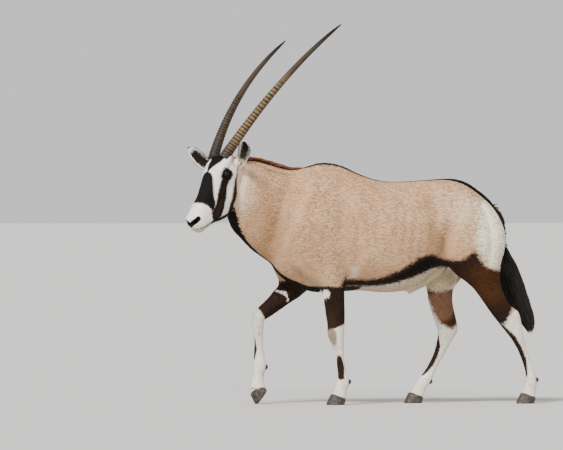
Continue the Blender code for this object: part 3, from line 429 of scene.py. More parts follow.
def far_from(points, place):
    """How far each point is from a place."""
    return np.linalg.norm(points - np.array(place), axis=1)


def step(low, high, value):
    """A smooth ramp from 0 at low to 1 at high: three parts square less two parts cube."""
    t = np.clip((value - low) / (high - low), 0, 1)
    return t * t * (3 - 2 * t)


def plateau(a, b, c, d, value):
    """Rises smoothly from 0 at a to 1 at b, and falls from c to 0 at d."""
    return step(a, b, value) * (1 - step(c, d, value))


def between(rows, count):
    """Rows spaced evenly along a Catmull-Rom curve through the given rows."""
    rows = np.array(rows, float)
    ends = np.vstack([2 * rows[0] - rows[1], rows, 2 * rows[-1] - rows[-2]])
    place = np.linspace(0, len(rows) - 1, count)
    span = np.minimum(place.astype(int), len(rows) - 2)
    t = (place - span)[:, None]
    a, b, c, d = (ends[span + k] for k in range(4))
    bend = 2 * a - 5 * b + 4 * c - d
    return 0.5 * (2 * b + (c - a) * t + bend * t**2 + (3 * b - a - 3 * c + d) * t**3)


def tube_faces(rings, sides):
    """The quads of a grid of rings, closed around, with a fan at each end."""
    ring, side = np.meshgrid(np.arange(rings - 1), np.arange(sides), indexing="ij")
    ahead = (side + 1) % sides
    quads = np.stack([
        ring * sides + side, ring * sides + ahead,
        (ring + 1) * sides + ahead, (ring + 1) * sides + side,
    ], -1).reshape(-1, 4)
    return [tuple(q) for q in quads.tolist()] + [
        tuple(range(sides))[::-1], tuple(range((rings - 1) * sides, rings * sides)),
    ]


def loft(name, stations, rings, sides):
    """A closed skin over cross-sections. Each is a superellipse round the point at its widest
    share: across by half times the cosine, up or down by the reach times the sine, each to the
    power of two over that half's squareness."""
    rows = between(stations, rings)
    top = np.stack([rows[:, 0], rows[:, 4], rows[:, 1]], 1)
    low = np.stack([rows[:, 2], rows[:, 4], rows[:, 3]], 1)
    half, widest = rows[:, 5, None, None], rows[:, 6, None]
    turn = np.radians(rows[:, 9])
    across = np.stack([-np.sin(turn), np.cos(turn), np.zeros(len(rows))], 1)
    middle = low + (top - low) * widest
    angle = turns(sides)
    upper = np.sin(angle) > 0
    power = 2 / np.where(upper, rows[:, 7, None], rows[:, 8, None])
    side = np.sign(np.cos(angle)) * np.abs(np.cos(angle)) ** power
    rise = np.abs(np.sin(angle)) ** power
    reach = np.where(upper[None, :, None], (top - middle)[:, None], (low - middle)[:, None])
    points = middle[:, None] + reach * rise[..., None] + across[:, None] * half * side[..., None]
    return closed(name, points, tube_faces(rings, sides))


def closed(name, points, faces):
    """A closed mesh of the given points and faces, with its faces turned outwards."""
    mesh = bpy.data.meshes.new(name)
    mesh.from_pydata(np.asarray(points, float).reshape(-1, 3), [], faces)
    made = linked(name, mesh)
    outwards(made)
    return made


def tube(name, path, radii, sides, flatten=1.0, up=(0, 0, 1)):
    """Rings round a path: each point is the path's, plus the radius times the cosine across
    and the sine upwards, the latter flattened."""
    path = np.array(path, float)
    tangent = unit(np.gradient(path, axis=0))
    side = unit(np.cross(tangent, np.array(up, float)))
    rise = np.cross(side, tangent)
    angle = turns(sides)
    radii = np.array(radii, float)
    radii = radii.reshape(len(path), -1)[:, :, None]
    points = path[:, None] + radii * (
        side[:, None] * np.cos(angle)[None, :, None]
        + rise[:, None] * np.sin(angle)[None, :, None] * flatten
    )
    return closed(name, points, tube_faces(len(path), sides))


def ball(name, centre, radii, turn=(0, 0, 0), segments=32, rings=20):
    """An ellipsoid. The turn is in degrees about X, Y and Z."""
    high = np.linspace(0, math.pi, rings + 1)[:, None]
    round_it = turns(segments)[None]
    points = np.stack([
        np.sin(high) * np.cos(round_it), np.sin(high) * np.sin(round_it),
        np.cos(high) * np.ones_like(round_it),
    ], -1).reshape(-1, 3)
    turned = Matrix.Rotation(math.radians(turn[2]), 3, "Z")
    turned = turned @ Matrix.Rotation(math.radians(turn[1]), 3, "Y")
    turned = turned @ Matrix.Rotation(math.radians(turn[0]), 3, "X")
    points = (points * np.array(radii)) @ np.array(turned).T + np.array(centre)
    return closed(name, points, tube_faces(rings + 1, segments))


def both_sides(name, centre, radii, turn):
    """The same ellipsoid on the left and on the right."""
    x, y, z = centre
    left = ball(name + "_l", (x, -abs(y), z), radii, (-turn[0], turn[1], -turn[2]))
    right = ball(name + "_r", (x, abs(y), z), radii, turn)
    return [left, right]


def bake(obj):
    """Applies the object's modifiers."""
    graph = bpy.context.evaluated_depsgraph_get()
    mesh = bpy.data.meshes.new_from_object(obj.evaluated_get(graph))
    obj.modifiers.clear()
    obj.data = mesh


def remove(objects):
    """Deletes the objects."""
    for obj in objects:
        bpy.data.objects.remove(obj)


def boolean(target, tools, operation):
    """One Boolean with all the tools at once, which are then removed."""
    group = bpy.data.collections.new("tools")
    bpy.context.scene.collection.children.link(group)
    for tool in tools:
        group.objects.link(tool)
    modifier = target.modifiers.new("boolean", "BOOLEAN")
    modifier.operation = operation
    modifier.operand_type = "COLLECTION"
    modifier.collection = group
    modifier.solver = "MANIFOLD"
    bake(target)
    remove(tools)
    bpy.data.collections.remove(group)


def fuse(name, pieces, voxel):
    """One skin over all the pieces, which are then removed."""
    work = bmesh.new()
    for piece in pieces:
        work.from_mesh(piece.data)
    mesh = bpy.data.meshes.new(name)
    work.to_mesh(mesh)
    work.free()
    remove(pieces)
    made = linked(name, mesh)
    modifier = made.modifiers.new("fuse", "REMESH")
    modifier.mode = "VOXEL"
    modifier.voxel_size = voxel
    modifier.adaptivity = 0
    bake(made)
    return made


def edge_ends(mesh):
    """The two points of each edge, by number."""
    ends = np.empty(len(mesh.edges) * 2, int)
    mesh.edges.foreach_get("vertices", ends)
    return ends.reshape(-1, 2)


def relax(obj, passes, share):
    """Moves each point, pass by pass, half its share of the way to the mean of its neighbours."""
    points, ends = points_of(obj), edge_ends(obj.data)
    count = len(points)
    valence = np.bincount(ends.ravel(), minlength=count)[:, None]
    share = np.broadcast_to(share, count)[:, None]
    for _ in range(passes):
        total = np.zeros_like(points)
        for axis in range(3):
            total[:, axis] = np.bincount(ends[:, 0], points[ends[:, 1], axis], count)
            total[:, axis] += np.bincount(ends[:, 1], points[ends[:, 0], axis], count)
        points += 0.5 * share * (total / valence - points)
    put_points(obj, points)


def largest_shell(obj):
    """Keeps the largest closed surface."""
    mesh = obj.data
    ends = edge_ends(mesh)
    label = np.arange(len(mesh.vertices))
    while True:
        low = np.minimum(label[ends[:, 0]], label[ends[:, 1]])
        before = label.copy()
        np.minimum.at(label, ends[:, 0], low)
        np.minimum.at(label, ends[:, 1], low)
        label = label[label]
        if np.array_equal(before, label):
            break
    kept = np.bincount(label).argmax()
    if (label == kept).all():
        return
    work = bmesh.new()
    work.from_mesh(mesh)
    work.verts.ensure_lookup_table()
    loose = [work.verts[k] for k in np.flatnonzero(label != kept)]
    bmesh.ops.delete(work, geom=loose, context="VERTS")
    work.to_mesh(mesh)
    work.free()


def float_attribute(mesh, name, values):
    """Stores one number for each point under a name."""
    made = mesh.attributes.new(name, "FLOAT", "POINT")
    made.data.foreach_set("value", np.asarray(values, np.float32))


# Distances that the markings and the muscles are worked out from


def to_path(points, path):
    """How far each point is from a line through the path's points, and the share of the path's
    rows at the nearest place: the smallest of the distances to its straight stretches."""
    path = np.asarray(path, float)
    best = np.full(len(points), 1e9)
    place = np.zeros(len(points))
    for k, (a, b) in enumerate(zip(path[:-1], path[1:], strict=True)):
        run = b - a
        t = np.clip(((points - a) @ run) / max(run @ run, 1e-12), 0, 1)
        far = np.linalg.norm(points - a - t[:, None] * run, axis=1)
        nearer = far < best
        best = np.where(nearer, far, best)
        place = np.where(nearer, k + t, place)
    return best, place


def stroke(points, path, halves):
    """Signed distance into a line of changing half width: positive inside it."""
    far, place = to_path(points, path)
    return np.interp(place, np.arange(len(path)), halves) - far


def patch(points, outline):
    """Signed distance into a closed outline on a plane: positive inside it. A point is inside
    where a line from it crosses the outline an odd number of times."""
    outline = np.asarray(outline, float)
    far, _ = to_path(points, np.vstack([outline, outline[:1]]))
    inside = np.zeros(len(points), bool)
    for a, b in zip(outline, np.roll(outline, -1, 0), strict=True):
        crosses = (a[1] > points[:, 1]) != (b[1] > points[:, 1])
        rise = b[1] - a[1] if b[1] != a[1] else 1e-12
        inside ^= crosses & (points[:, 0] < a[0] + (points[:, 1] - a[1]) / rise * (b[0] - a[0]))
    return np.where(inside, far, -far)


# The skin


def swell(points, normals, forms):
    """Muscles and hollows: along each path seen from the side, the skin moves out by the height
    times a bell of the distance from the path. It fades out towards the midline."""
    flat = points[:, [0, 2]]
    moved = np.zeros(len(points))
    for path, width, height in forms:
        far, _ = to_path(flat, path)
        moved += height * np.exp(-((far / width) ** 2))
    aside = step(0.03, 0.08, np.abs(points[:, 1]))
    return points + normals * (moved * aside)[:, None]


# Each: its path from the side as x and z, its width, and how far it stands out or sinks in
MUSCLES = (
    (((-0.31, 1.10), (-0.33, 0.93), (-0.38, 0.79)), 0.050, 5 * MM),
    (((-0.385, 1.10), (-0.440, 0.96), (-0.475, 0.82)), 0.030, -5 * MM),
    (((-0.23, 0.90), (-0.17, 0.78)), 0.070, 6 * MM),
    (((-0.10, 1.02), (-0.055, 0.88), (-0.055, 0.74)), 0.030, -6 * MM),
    (((-0.115, 0.70), (-0.105, 0.66)), 0.028, 5 * MM),
    (((-0.30, 0.72), (-0.36, 0.70)), 0.040, 4 * MM),
    (((0.345, 1.00), (0.350, 0.88)), 0.060, -9 * MM),
    (((0.395, 1.045), (0.415, 1.030)), 0.040, 7 * MM),
    (((0.375, 0.92), (0.350, 0.80), (0.330, 0.74)), 0.026, 6 * MM),
    (((0.50, 0.96), (0.54, 0.82)), 0.085, 6 * MM),
    (((0.590, 1.00), (0.625, 0.84), (0.610, 0.70)), 0.022, -5 * MM),
    (((0.660, 0.93), (0.680, 0.80)), 0.030, 4 * MM),
    (((0.45, 0.70), (0.52, 0.62)), 0.045, 4 * MM),
)
RIB_SPACING = 0.046
RIB_HEIGHT = 0.4 * MM
RIB_LEAN = 0.10
# Where the ribs rise and fade, along the barrel and up it
RIBS_ALONG, RIBS_UP = (-0.06, 0.0, 0.26, 0.32), (0.68, 0.76, 0.92, 1.0)


def ribs(points, normals):
    """Faint ribs: a wave along the barrel that leans back as it goes down, faded at its edges."""
    x = points[:, 0] - RIB_LEAN * (points[:, 2] - 0.85)
    span = plateau(*RIBS_ALONG, x) * plateau(*RIBS_UP, points[:, 2])
    return points + normals * (RIB_HEIGHT * span * np.sin(2 * math.pi * x / RIB_SPACING))[:, None]


def body_skin():
    """Trunk, neck and legs fused, relaxed above the knees, then given muscles and ribs."""
    pieces = [
        loft("trunk", TRUNK, 90, 72),
        loft("neck", NECK, 60, 64),
        *(loft(name, table, 130, 36) for name, table in LEGS.items()),
        loft("sheath", SHEATH, 30, 24),
    ]
    skin = fuse("skin", pieces, BODY_VOXEL)
    height = points_of(skin)[:, 2]
    relax(skin, BODY_PASSES, np.clip((height - SMOOTH_FROM) / SMOOTH_SPAN, SMOOTH_LEAST, 1))
    points, normals = points_of(skin), points_of(skin, "normal")
    points = ribs(swell(points, normals, MUSCLES), normals)
    high = step(0.35, 0.60, points[:, 2])
    points -= normals * (LEG_COAT + (BODY_COAT - LEG_COAT) * high)[:, None]
    put_points(skin, points)
    return skin


# Creases and veins of the head: path in its frame on the right, width, and rise
FACE_LINES = (
    (((-0.103, 0.074, -0.057), (-0.128, 0.066, -0.069), (-0.158, 0.058, -0.077)), 0.005, -1.6 * MM),
    (((-0.053, 0.074, -0.010), (-0.078, 0.079, -0.006), (-0.106, 0.072, -0.017)), 0.004, -1.5 * MM),
    (((-0.056, 0.078, -0.067), (-0.082, 0.079, -0.076), (-0.108, 0.072, -0.069)), 0.004, -1.2 * MM),
    (((-0.130, 0.062, -0.078), (-0.190, 0.054, -0.082), (-0.250, 0.047, -0.078)), 0.007, 1.8 * MM),
    (((-0.170, 0.056, -0.105), (-0.230, 0.050, -0.100), (-0.275, 0.047, -0.098)), 0.009, -2.2 * MM),
    (((-0.080, 0.062, -0.100), (-0.115, 0.062, -0.150), (-0.150, 0.052, -0.180)), 0.016, 2.4 * MM),
    (((-0.285, 0.050, -0.100), (-0.320, 0.052, -0.094), (-0.350, 0.046, -0.088)), 0.006, -1.4 * MM),
    (((-0.325, 0.046, -0.034), (-0.352, 0.045, -0.031), (-0.374, 0.030, -0.034)), 0.006, 1.6 * MM),
    (((-0.340, 0.052, -0.064), (-0.366, 0.044, -0.068), (-0.386, 0.026, -0.074)), 0.005, 1.4 * MM),
    (((-0.345, 0.040, -0.118), (-0.375, 0.022, -0.108), (-0.388, 0.0, -0.104)), 0.006, 1.6 * MM),
)


def crease(points, normals, lines):
    """Each line's rise times a bell of the distance from it, the same on both sides."""
    folded = points * np.where(points[:, 1:2] < 0, np.array((1, -1, 1)), 1)
    moved = np.zeros(len(points))
    for path, width, rise in lines:
        far, _ = to_path(folded, path)
        moved += rise * np.exp(-((far / width) ** 2))
    return points + normals * moved[:, None]


def lid_opening(side, corners=15):
    """An almond-shaped prism that opens the lids: a parabola above and a flatter one below."""
    look = mirrored(EYE_LOOK, side).normalized()
    line = (LID_LINE - look * LID_LINE.dot(look)).normalized()
    rise = look.cross(line)
    if rise.z < 0:
        rise = -rise
    edge = np.linspace(-1, 1, corners)
    upper = [(t * LID_LENGTH, LID_OPENING * (1 - t * t)) for t in edge]
    lower = [(t * LID_LENGTH, -LID_OPENING * LOWER_LID * (1 - t * t)) for t in edge[-2:0:-1]]
    ring = upper + lower
    place = mirrored(EYE_PLACE, side)
    points = [
        place + look * reach + line * a * spread + rise * b * spread
        for reach, spread in ((0.004, 0.8), (0.05, 1.4))
        for a, b in ring
    ]
    return closed("opening", points, tube_faces(2, len(ring)))


def mouth_line(steps=60):
    """A wedge bent round the muzzle, whose thin edge lies inside the lips."""
    turn = np.linspace(-math.pi / 2, math.pi / 2, steps)
    back = 1 - np.cos(turn) ** 0.62
    edge = np.stack([
        MOUTH_FRONT.x + (MOUTH_CORNER.x - MOUTH_FRONT.x) * back,
        MOUTH_CORNER.y * np.sin(turn),
        MOUTH_FRONT.z + (MOUTH_CORNER.z - MOUTH_FRONT.z) * back,
    ], 1)
    inward = unit(np.stack([0.9 * np.cos(turn), -np.sin(turn), np.zeros(steps)], 1))
    deep = edge + inward * (0.006 + MOUTH_DEPTH * (1 - 0.75 * back))[:, None]
    wide = edge - inward * 0.012
    up, thin = np.array((0, 0, MOUTH_HEIGHT)), np.array((0, 0, 0.0004))
    points = np.stack([deep + thin, wide + up, wide - up, deep - thin], 1)
    return closed("mouth", points, tube_faces(steps, 4))


def nostril(side):
    """A comma-shaped slit with a deeper hole at its middle."""
    rows = between(NOSTRIL_PATH, 24)
    path = rows[:, :3] * np.array((1, side, 1))
    slit = tube("slit", path, rows[:, 3], 14, 0.9, (1, 0, 1))
    middle = path[10] + np.array((0.006, -side * 0.005, -0.003))
    hole = ball("hole", middle, (0.0135, 0.0070, 0.0080), (0, -20, -side * 40))
    return [slit, hole]


def head_skin():
    """The head fused, creased, with its lids, nostrils and mouth cut, in its own frame."""
    pieces = [loft("skull", HEAD, 160, 96)]
    for name, (centre, radii, turn) in HEAD_FORMS.items():
        pieces += both_sides(name, centre, radii, turn)
    skin = fuse("head", pieces, HEAD_VOXEL)
    relax(skin, HEAD_PASSES, 1.0)
    points, normals = points_of(skin), points_of(skin, "normal")
    points = crease(points, normals, FACE_LINES) - normals * HEAD_COAT
    put_points(skin, points)
    lid, socket = EYE_RADIUS + LID_THICKNESS, EYE_RADIUS + 0.5 * MM
    places = [mirrored(EYE_PLACE, side) for side in (-1, 1)]
    boolean(skin, [ball("lid", place, (lid,) * 3) for place in places], "UNION")
    near_lid = [far_from(points_of(skin), place) for place in places]
    relax(skin, 4, 1 - step(0.026, 0.036, np.minimum(*near_lid)))
    cuts = [ball("socket", place, (socket,) * 3) for place in places]
    cuts += [lid_opening(-1), lid_opening(1), mouth_line(), *nostril(-1), *nostril(1)]
    for cut in cuts:
        boolean(skin, [cut], "DIFFERENCE")
    largest_shell(skin)
    return skin


def ear_frame(name):
    """An ear's root, the way it points, the way its cup faces, and the way across it."""
    aim = EAR_AIM[name].normalized()
    cup = EAR_CUP[name]
    cup = (cup - aim * cup.dot(aim)).normalized()
    root = mirrored(EAR_PLACE, EAR_SIDES[name]) - aim * EAR_ROOT
    return np.array(root), np.array(aim), np.array(cup), np.array(aim.cross(cup))


def ear_middle(name, share):
    """The ear's middle line: straight along its aim, bowed by the tip's bow times the share
    squared less the back's bow times a sine, and sagging by half a sine."""
    root, aim, cup, _ = ear_frame(name)
    bow = EAR_BOW[1] * share**2 - EAR_BOW[0] * np.sin(3 * share)
    sag = np.array(EAR_SAG[name]) * np.sin(math.pi * share)[:, None]
    return root + aim * ((EAR_LENGTH + EAR_ROOT) * share)[:, None] + cup * bow[:, None] + sag


def ear(name):
    """A leaf rolled into a cup. Across it the point turns about the ear's line by its share of
    the wrap, at the row's reach; the inner face is the same less the wall, with low ridges."""
    share, arc = np.linspace(0, 1, 56), np.linspace(-1, 1, 41)
    _, _, cup, across = ear_frame(name)
    middle = ear_middle(name, share)
    reach, wall = np.interp(share, *EAR_REACH), np.interp(share, *EAR_WALL)
    angle = arc[None] * np.radians(np.interp(share, *EAR_WRAP))[:, None]
    outward = across * np.sin(angle)[..., None] - cup * np.cos(angle)[..., None]
    ridge = EAR_RIDGE * np.cos(arc * 9)[None] * step(0.15, 0.4, share)[:, None]
    outer = middle[:, None] + outward * reach[:, None, None]
    inner = middle[:, None] + outward * (reach[:, None] - wall[:, None] - ridge)[..., None]
    return leaf("ear_" + name, outer, inner)


def leaf(name, outer, inner):
    """Two grids joined round their border into a closed leaf, split into triangles alike."""
    rows, cols = outer.shape[:2]
    grid = np.arange(rows * cols).reshape(rows, cols)
    a, b, c, d = grid[:-1, :-1], grid[:-1, 1:], grid[1:, 1:], grid[1:, :-1]
    upper = np.concatenate([np.stack([a, b, c], -1), np.stack([a, c, d], -1)]).reshape(-1, 3)
    lower = upper[:, ::-1] + rows * cols
    border = np.concatenate([grid[:, 0], grid[-1, 1:], grid[-2::-1, -1], grid[0, -2:0:-1]])
    ahead = np.roll(border, -1)
    rim = np.concatenate([
        np.stack([border, ahead, ahead + rows * cols], -1),
        np.stack([border, ahead + rows * cols, border + rows * cols], -1),
    ])
    points = np.concatenate([outer.reshape(-1, 3), inner.reshape(-1, 3)])
    return closed(name, points, np.concatenate([upper, lower, rim]).tolist())


def dock():
    """The bare line of the tail's dock: a tube along its path, thinner by the coat."""
    rows = between(DOCK, 60)
    return tube("dock", rows[:, :3], rows[:, 3] - 1.5 * MM, 24, up=(1, 0, 0.1))


def whole_skin():
    """One closed skin: body, head, ears and dock joined, and relaxed where they meet."""
    skin = body_skin()
    head = head_skin()
    for name in EAR_SIDES:
        boolean(head, [ear(name)], "UNION")
    head.data.transform(HEAD_MATRIX)
    boolean(skin, [head, dock()], "UNION")
    largest_shell(skin)
    points = points_of(skin)
    local = (points - np.array(HEAD_MATRIX @ JAW_ROOT)) @ HEAD_TURN
    behind = plateau(*SEAM_ALONG, local[:, 0]) * (1 - step(*SEAM_TOP, local[:, 2]))
    ears = [far_from(points, HEAD_MATRIX @ mirrored(EAR_PLACE, side)) for side in (-1, 1)]
    ears, rear = np.min(ears, 0), far_from(points, DOCK_ROOT)
    share = np.maximum(behind, np.maximum(1 - step(0.035, 0.05, ears), 1 - step(0.03, 0.05, rear)))
    relax(skin, SEAM_PASSES, share * 0.9)
    return skin


# Markings: signed distances in metres, positive inside, or soft shares


def head_local(points):
    """Places in the head's own frame."""
    matrix = HEAD_MATRIX.inverted()
    return points @ np.array(matrix.to_3x3()).T + np.array(matrix.translation)


SECTIONS = np.array([
    ((s.x_top + s.x_low) / 2, (s.z_top + s.z_low) / 2, (s.z_top - s.z_low) / 2, s.half)
    for s in HEAD
])[::-1]
ROUND = 0.00096  # metres round the head for each degree


def section_at(x):
    """The head's middle height, half height and half width at places along it."""
    return (np.interp(x, SECTIONS[:, 0], SECTIONS[:, k]) for k in (1, 2, 3))


def face_chart(local):
    """The place along the head and the way round it from the top, both in metres."""
    x = local[:, 0]
    middle, reach, half = section_at(x)
    turn = np.arctan2(np.abs(local[:, 1]) / half, (local[:, 2] - middle) / reach)
    return np.stack([x, np.degrees(turn) * ROUND], 1)


def charted(rows):
    """Rows of place along the head and degrees round it, as places on the chart."""
    return np.array([(x, degrees * ROUND) for x, degrees in rows])


NASAL_PATCH = charted((
    (-0.104, -6), (-0.106, 6), (-0.111, 14), (-0.115, 25), (-0.127, 34), (-0.159, 47),
    (-0.195, 59), (-0.217, 71), (-0.228, 80), (-0.255, 92), (-0.281, 97), (-0.271, 84),
    (-0.268, 66), (-0.274, 45), (-0.279, 20), (-0.281, -6),
))
CROWN_PATCH = charted((
    (0.060, -6), (0.060, 44), (0.010, 42), (-0.012, 36), (-0.030, 33), (-0.043, 30),
    (-0.060, 25), (-0.075, 18), (-0.091, 11), (-0.104, 6), (-0.110, 5), (-0.110, -6),
))
EYE_STRIPE = charted((
    (-0.228, 85), (-0.209, 77), (-0.181, 70), (-0.140, 64), (-0.121, 61), (-0.108, 57),
    (-0.085, 56), (-0.062, 57), (-0.050, 70), (-0.062, 76), (-0.082, 77), (-0.101, 78),
    (-0.125, 82), (-0.150, 91), (-0.173, 101), (-0.193, 105), (-0.213, 114), (-0.236, 123),
    (-0.254, 134), (-0.284, 136), (-0.300, 128), (-0.296, 112), (-0.286, 98), (-0.250, 88),
))
STRIPE_EDGE = 8 * MM  # how far the stripe's black edge reaches into it
EYE_BLACK = charted((
    (-0.116, 57), (-0.087, 52), (-0.058, 53), (-0.046, 69), (-0.058, 79), (-0.088, 80),
))
JAW_LINE = charted((
    (-0.326, 131), (-0.316, 133), (-0.298, 136), (-0.274, 142), (-0.250, 145), (-0.222, 149),
    (-0.190, 156), (-0.160, 162),
))
JAW_HALF = (0.004, 0.008, 0.009, 0.010, 0.010, 0.010, 0.008, 0.006)
# The brown line across the cheek, which parts the white face from the tan neck
CHEEK_LINE = charted((
    (0.020, 40), (0.020, 60), (0.010, 70), (-0.006, 77), (-0.024, 83), (-0.045, 90),
    (-0.067, 94), (-0.086, 103), (-0.106, 108), (-0.135, 116), (-0.165, 135), (-0.185, 156),
    (-0.190, 184),
))
CHEEK_HALF = (
    0, 0, 0.0015, 0.0018, 0.002, 0.003, 0.005, 0.007, 0.008, 0.009, 0.013, 0.026, 0.030,
)
TAN_STRIP = charted(((0.030, 58), (0.0, 62), (-0.022, 68)))
TAN_STRIP_HALF = (0.012, 0.010, 0.004)
NOSE_BAND = charted(((-0.352, 58), (-0.362, 51), (-0.374, 40), (-0.382, 22), (-0.387, 0)))
NOSE_HALF = (0.008, 0.011, 0.011, 0.010, 0.009)
LIP_LINE = charted(((-0.398, 100), (-0.390, 113), (-0.370, 120), (-0.347, 125), (-0.326, 128)))
LIP_HALF = (0.0035, 0.004, 0.004, 0.004, 0.002)

# Lines of dark hair under the neck and along the back, with their half widths
THROAT = (
    (-0.712, -0.104, 1.045),
    *((s.x_low, s.y, s.z_low) for s in NECK[1:7] + TRUNK[1:3]),
    (-0.250, 0, 0.560),
    (-0.140, 0, 0.560),
)
THROAT_HALF = (0.064, 0.058, 0.052, 0.043, 0.029, 0.027, 0.019, 0.031, 0.066, 0.078, 0.055)
SPINE = (
    (-0.330, 0, 1.176),
    *((s.x_top, s.y, s.z_top) for s in TRUNK[3:15]),
    (0.722, 0, 0.880),
    (0.730, 0, 0.780),
)
SPINE_HALF = (
    0.008, 0.014, 0.018, 0.020, 0.020, 0.020, 0.022, 0.028, 0.044, 0.056, 0.060, 0.054, 0.038,
    0.030, 0.030,
)
# The flank band seen from the side, and its half width
FLANK = (
    (-0.130, 0.604), (-0.095, 0.608), (0.010, 0.607), (0.060, 0.613), (0.105, 0.625),
    (0.155, 0.641), (0.205, 0.665), (0.257, 0.692), (0.310, 0.711), (0.345, 0.706),
    (0.385, 0.703), (0.440, 0.695),
)
FLANK_HALF = (
    0.017, 0.019, 0.018, 0.021, 0.025, 0.031, 0.037, 0.044, 0.042, 0.029, 0.023, 0.024,
)
FLANK_ASIDE = 0.06  # the band keeps this far from the midline
FLANK_EDGE = 0.024  # how far in from its edge the band turns black
BELLY_TOP = 0.72
BELLY = (
    (-0.20, 0.500), (-0.10, 0.594), (0.010, 0.594), (0.066, 0.596), (0.110, 0.604),
    (0.162, 0.616), (0.205, 0.634), (0.263, 0.656), (0.328, 0.680), (0.360, 0.690),
    (0.400, 0.692), (0.470, 0.692), (0.505, 0.650), (0.500, 0.600), (0.40, 0.50),
)
THIGH_DARK = (
    (0.345, 0.728), (0.400, 0.724), (0.459, 0.720), (0.505, 0.752), (0.530, 0.772),
    (0.548, 0.730), (0.575, 0.694), (0.620, 0.676), (0.665, 0.668), (0.740, 0.660),
    (0.760, 0.560), (0.747, 0.492), (0.728, 0.455), (0.702, 0.398), (0.660, 0.395),
    (0.560, 0.520), (0.490, 0.600), (0.440, 0.645), (0.410, 0.690),
)
THIGH_DARK_FAR = (
    (0.352, 0.575), (0.400, 0.560), (0.480, 0.575), (0.510, 0.560), (0.505, 0.480),
    (0.515, 0.400), (0.480, 0.372), (0.420, 0.400), (0.385, 0.460), (0.365, 0.520),
)
RUMP = (
    (0.56, 1.02), (0.545, 0.93), (0.530, 0.82), (0.556, 0.746), (0.590, 0.676), (0.80, 0.64),
    (0.80, 1.02),
)
BRISKET_PALE = (
    (-0.112, 0.700), (-0.051, 0.690), (-0.055, 0.624), (-0.105, 0.622),
)
ELBOW_LINE = ((-0.124, 0.592), (-0.120, 0.638))
ELBOW_LINE_HALF = (0.006, 0.004)
ELBOW_WHITE = (
    (-0.232, 0.578), (-0.212, 0.579), (-0.195, 0.560), (-0.204, 0.540), (-0.224, 0.520),
    (-0.233, 0.540),
)
FAR_FOREARM_WHITE = ((-0.411, 0.566), (-0.376, 0.556), (-0.355, 0.515))
FAR_FOREARM_HALF = (0.009, 0.012, 0.008)
KNEE_SMUDGE = ((-0.194, -0.150, 0.352), (-0.180, -0.155, 0.280))
KNEE_SMUDGE_HALF = (0.028, 0.016)
# Painted shade: the tan is painted darker along this crease below the mane.
NECK_CREASE = (
    (-0.592, -0.099, 1.208), (-0.543, -0.103, 1.188), (-0.490, -0.096, 1.169),
    (-0.409, -0.071, 1.149),
)

LEG_LINES = {
    name: np.array([((s.x_top + s.x_low) / 2, s.y, (s.z_top + s.z_low) / 2) for s in table])
    for name, table in LEGS.items()
}
LEG_REACH = 0.16  # how far a leg's markings go from its middle line
FOREARM_TOP = {"fore_left": 0.592, "fore_right": 0.620}
# Where each leg's dark upper part ends: a point and the way up the leg, from the side
LEG_ENDS = {
    "fore_left": ((-0.158, 0.389), (-0.39, 0.92)),
    "fore_right": ((-0.490, 0.452), (0.85, 0.53)),
    "hind_left": ((0.720, 0.440), (-0.60, 0.80)),
    "hind_right": ((0.450, 0.385), (-0.10, 1.0)),
}
# The dark line down the front of each cannon, and its half widths
CANNON_LINES = {
    "fore_left": ((-0.146, -0.128, 0.236), (-0.140, -0.128, 0.190), (-0.136, -0.128, 0.140)),
    "fore_right": ((-0.522, 0.118, 0.325), (-0.524, 0.116, 0.275), (-0.526, 0.115, 0.225)),
    "hind_left": (
        (0.700, -0.109, 0.385), (0.739, -0.107, 0.325), (0.770, -0.105, 0.270),
        (0.794, -0.103, 0.216), (0.812, -0.101, 0.150),
    ),
    "hind_right": (
        (0.410, 0.099, 0.330), (0.403, 0.098, 0.292), (0.388, 0.096, 0.246),
        (0.365, 0.094, 0.199), (0.340, 0.092, 0.145),
    ),
}
CANNON_HALF = {
    "fore_left": (0.013, 0.022, 0.016),
    "fore_right": (0.009, 0.017, 0.009),
    "hind_left": (0.022, 0.034, 0.032, 0.029, 0.019),
    "hind_right": (0.014, 0.029, 0.029, 0.028, 0.017),
}


def nearest_leg(points):
    """The leg whose middle line is nearest, by number, and how far it is."""
    far = np.stack([to_path(points, LEG_LINES[name])[0] for name in LEGS])
    return far.argmin(0), far.min(0)


def ear_place(local, name):
    """For one ear: the share of its length, how many degrees short of its edge, whether a place
    lies on the inner face, and whether it is on this ear at all."""
    side = EAR_SIDES[name]
    _, aim, cup, across = ear_frame(name)
    steps = 60
    line = ear_middle(name, np.linspace(0, 1, steps))
    _, place = to_path(local, line)
    share = place / (steps - 1)
    nearest = np.stack([np.interp(place, np.arange(steps), line[:, k]) for k in range(3)], 1)
    away = local - nearest
    radius = np.hypot(away @ across, away @ cup)
    turn = np.degrees(np.arctan2(np.abs(away @ across), -(away @ cup)))
    to_rim = np.interp(share, *EAR_WRAP) - turn
    reach = np.interp(share, *EAR_REACH)
    inner = radius < reach - np.interp(share, *EAR_WALL) / 2
    past = (local - line[0]) @ aim
    here = (share > 0.14) & (radius < reach + 0.012) & (local[:, 1] * side > 0.04)
    here &= np.linalg.norm(away, axis=1) < 0.06
    return share, to_rim, inner & here, here & (past > 0.02)


# The head is what lies near a line inside it and in front of the nape. Below the jaw's floor it
# is also no further out than so many times its cross-section
HEAD_CORE = ((0.0, 0, -0.10), (-0.20, 0, -0.10), (-0.39, 0, -0.08))
HEAD_REACH, NAPE, JAW_FLOOR, JAW_OUT = 0.125, 0.045, -0.13, 1.45


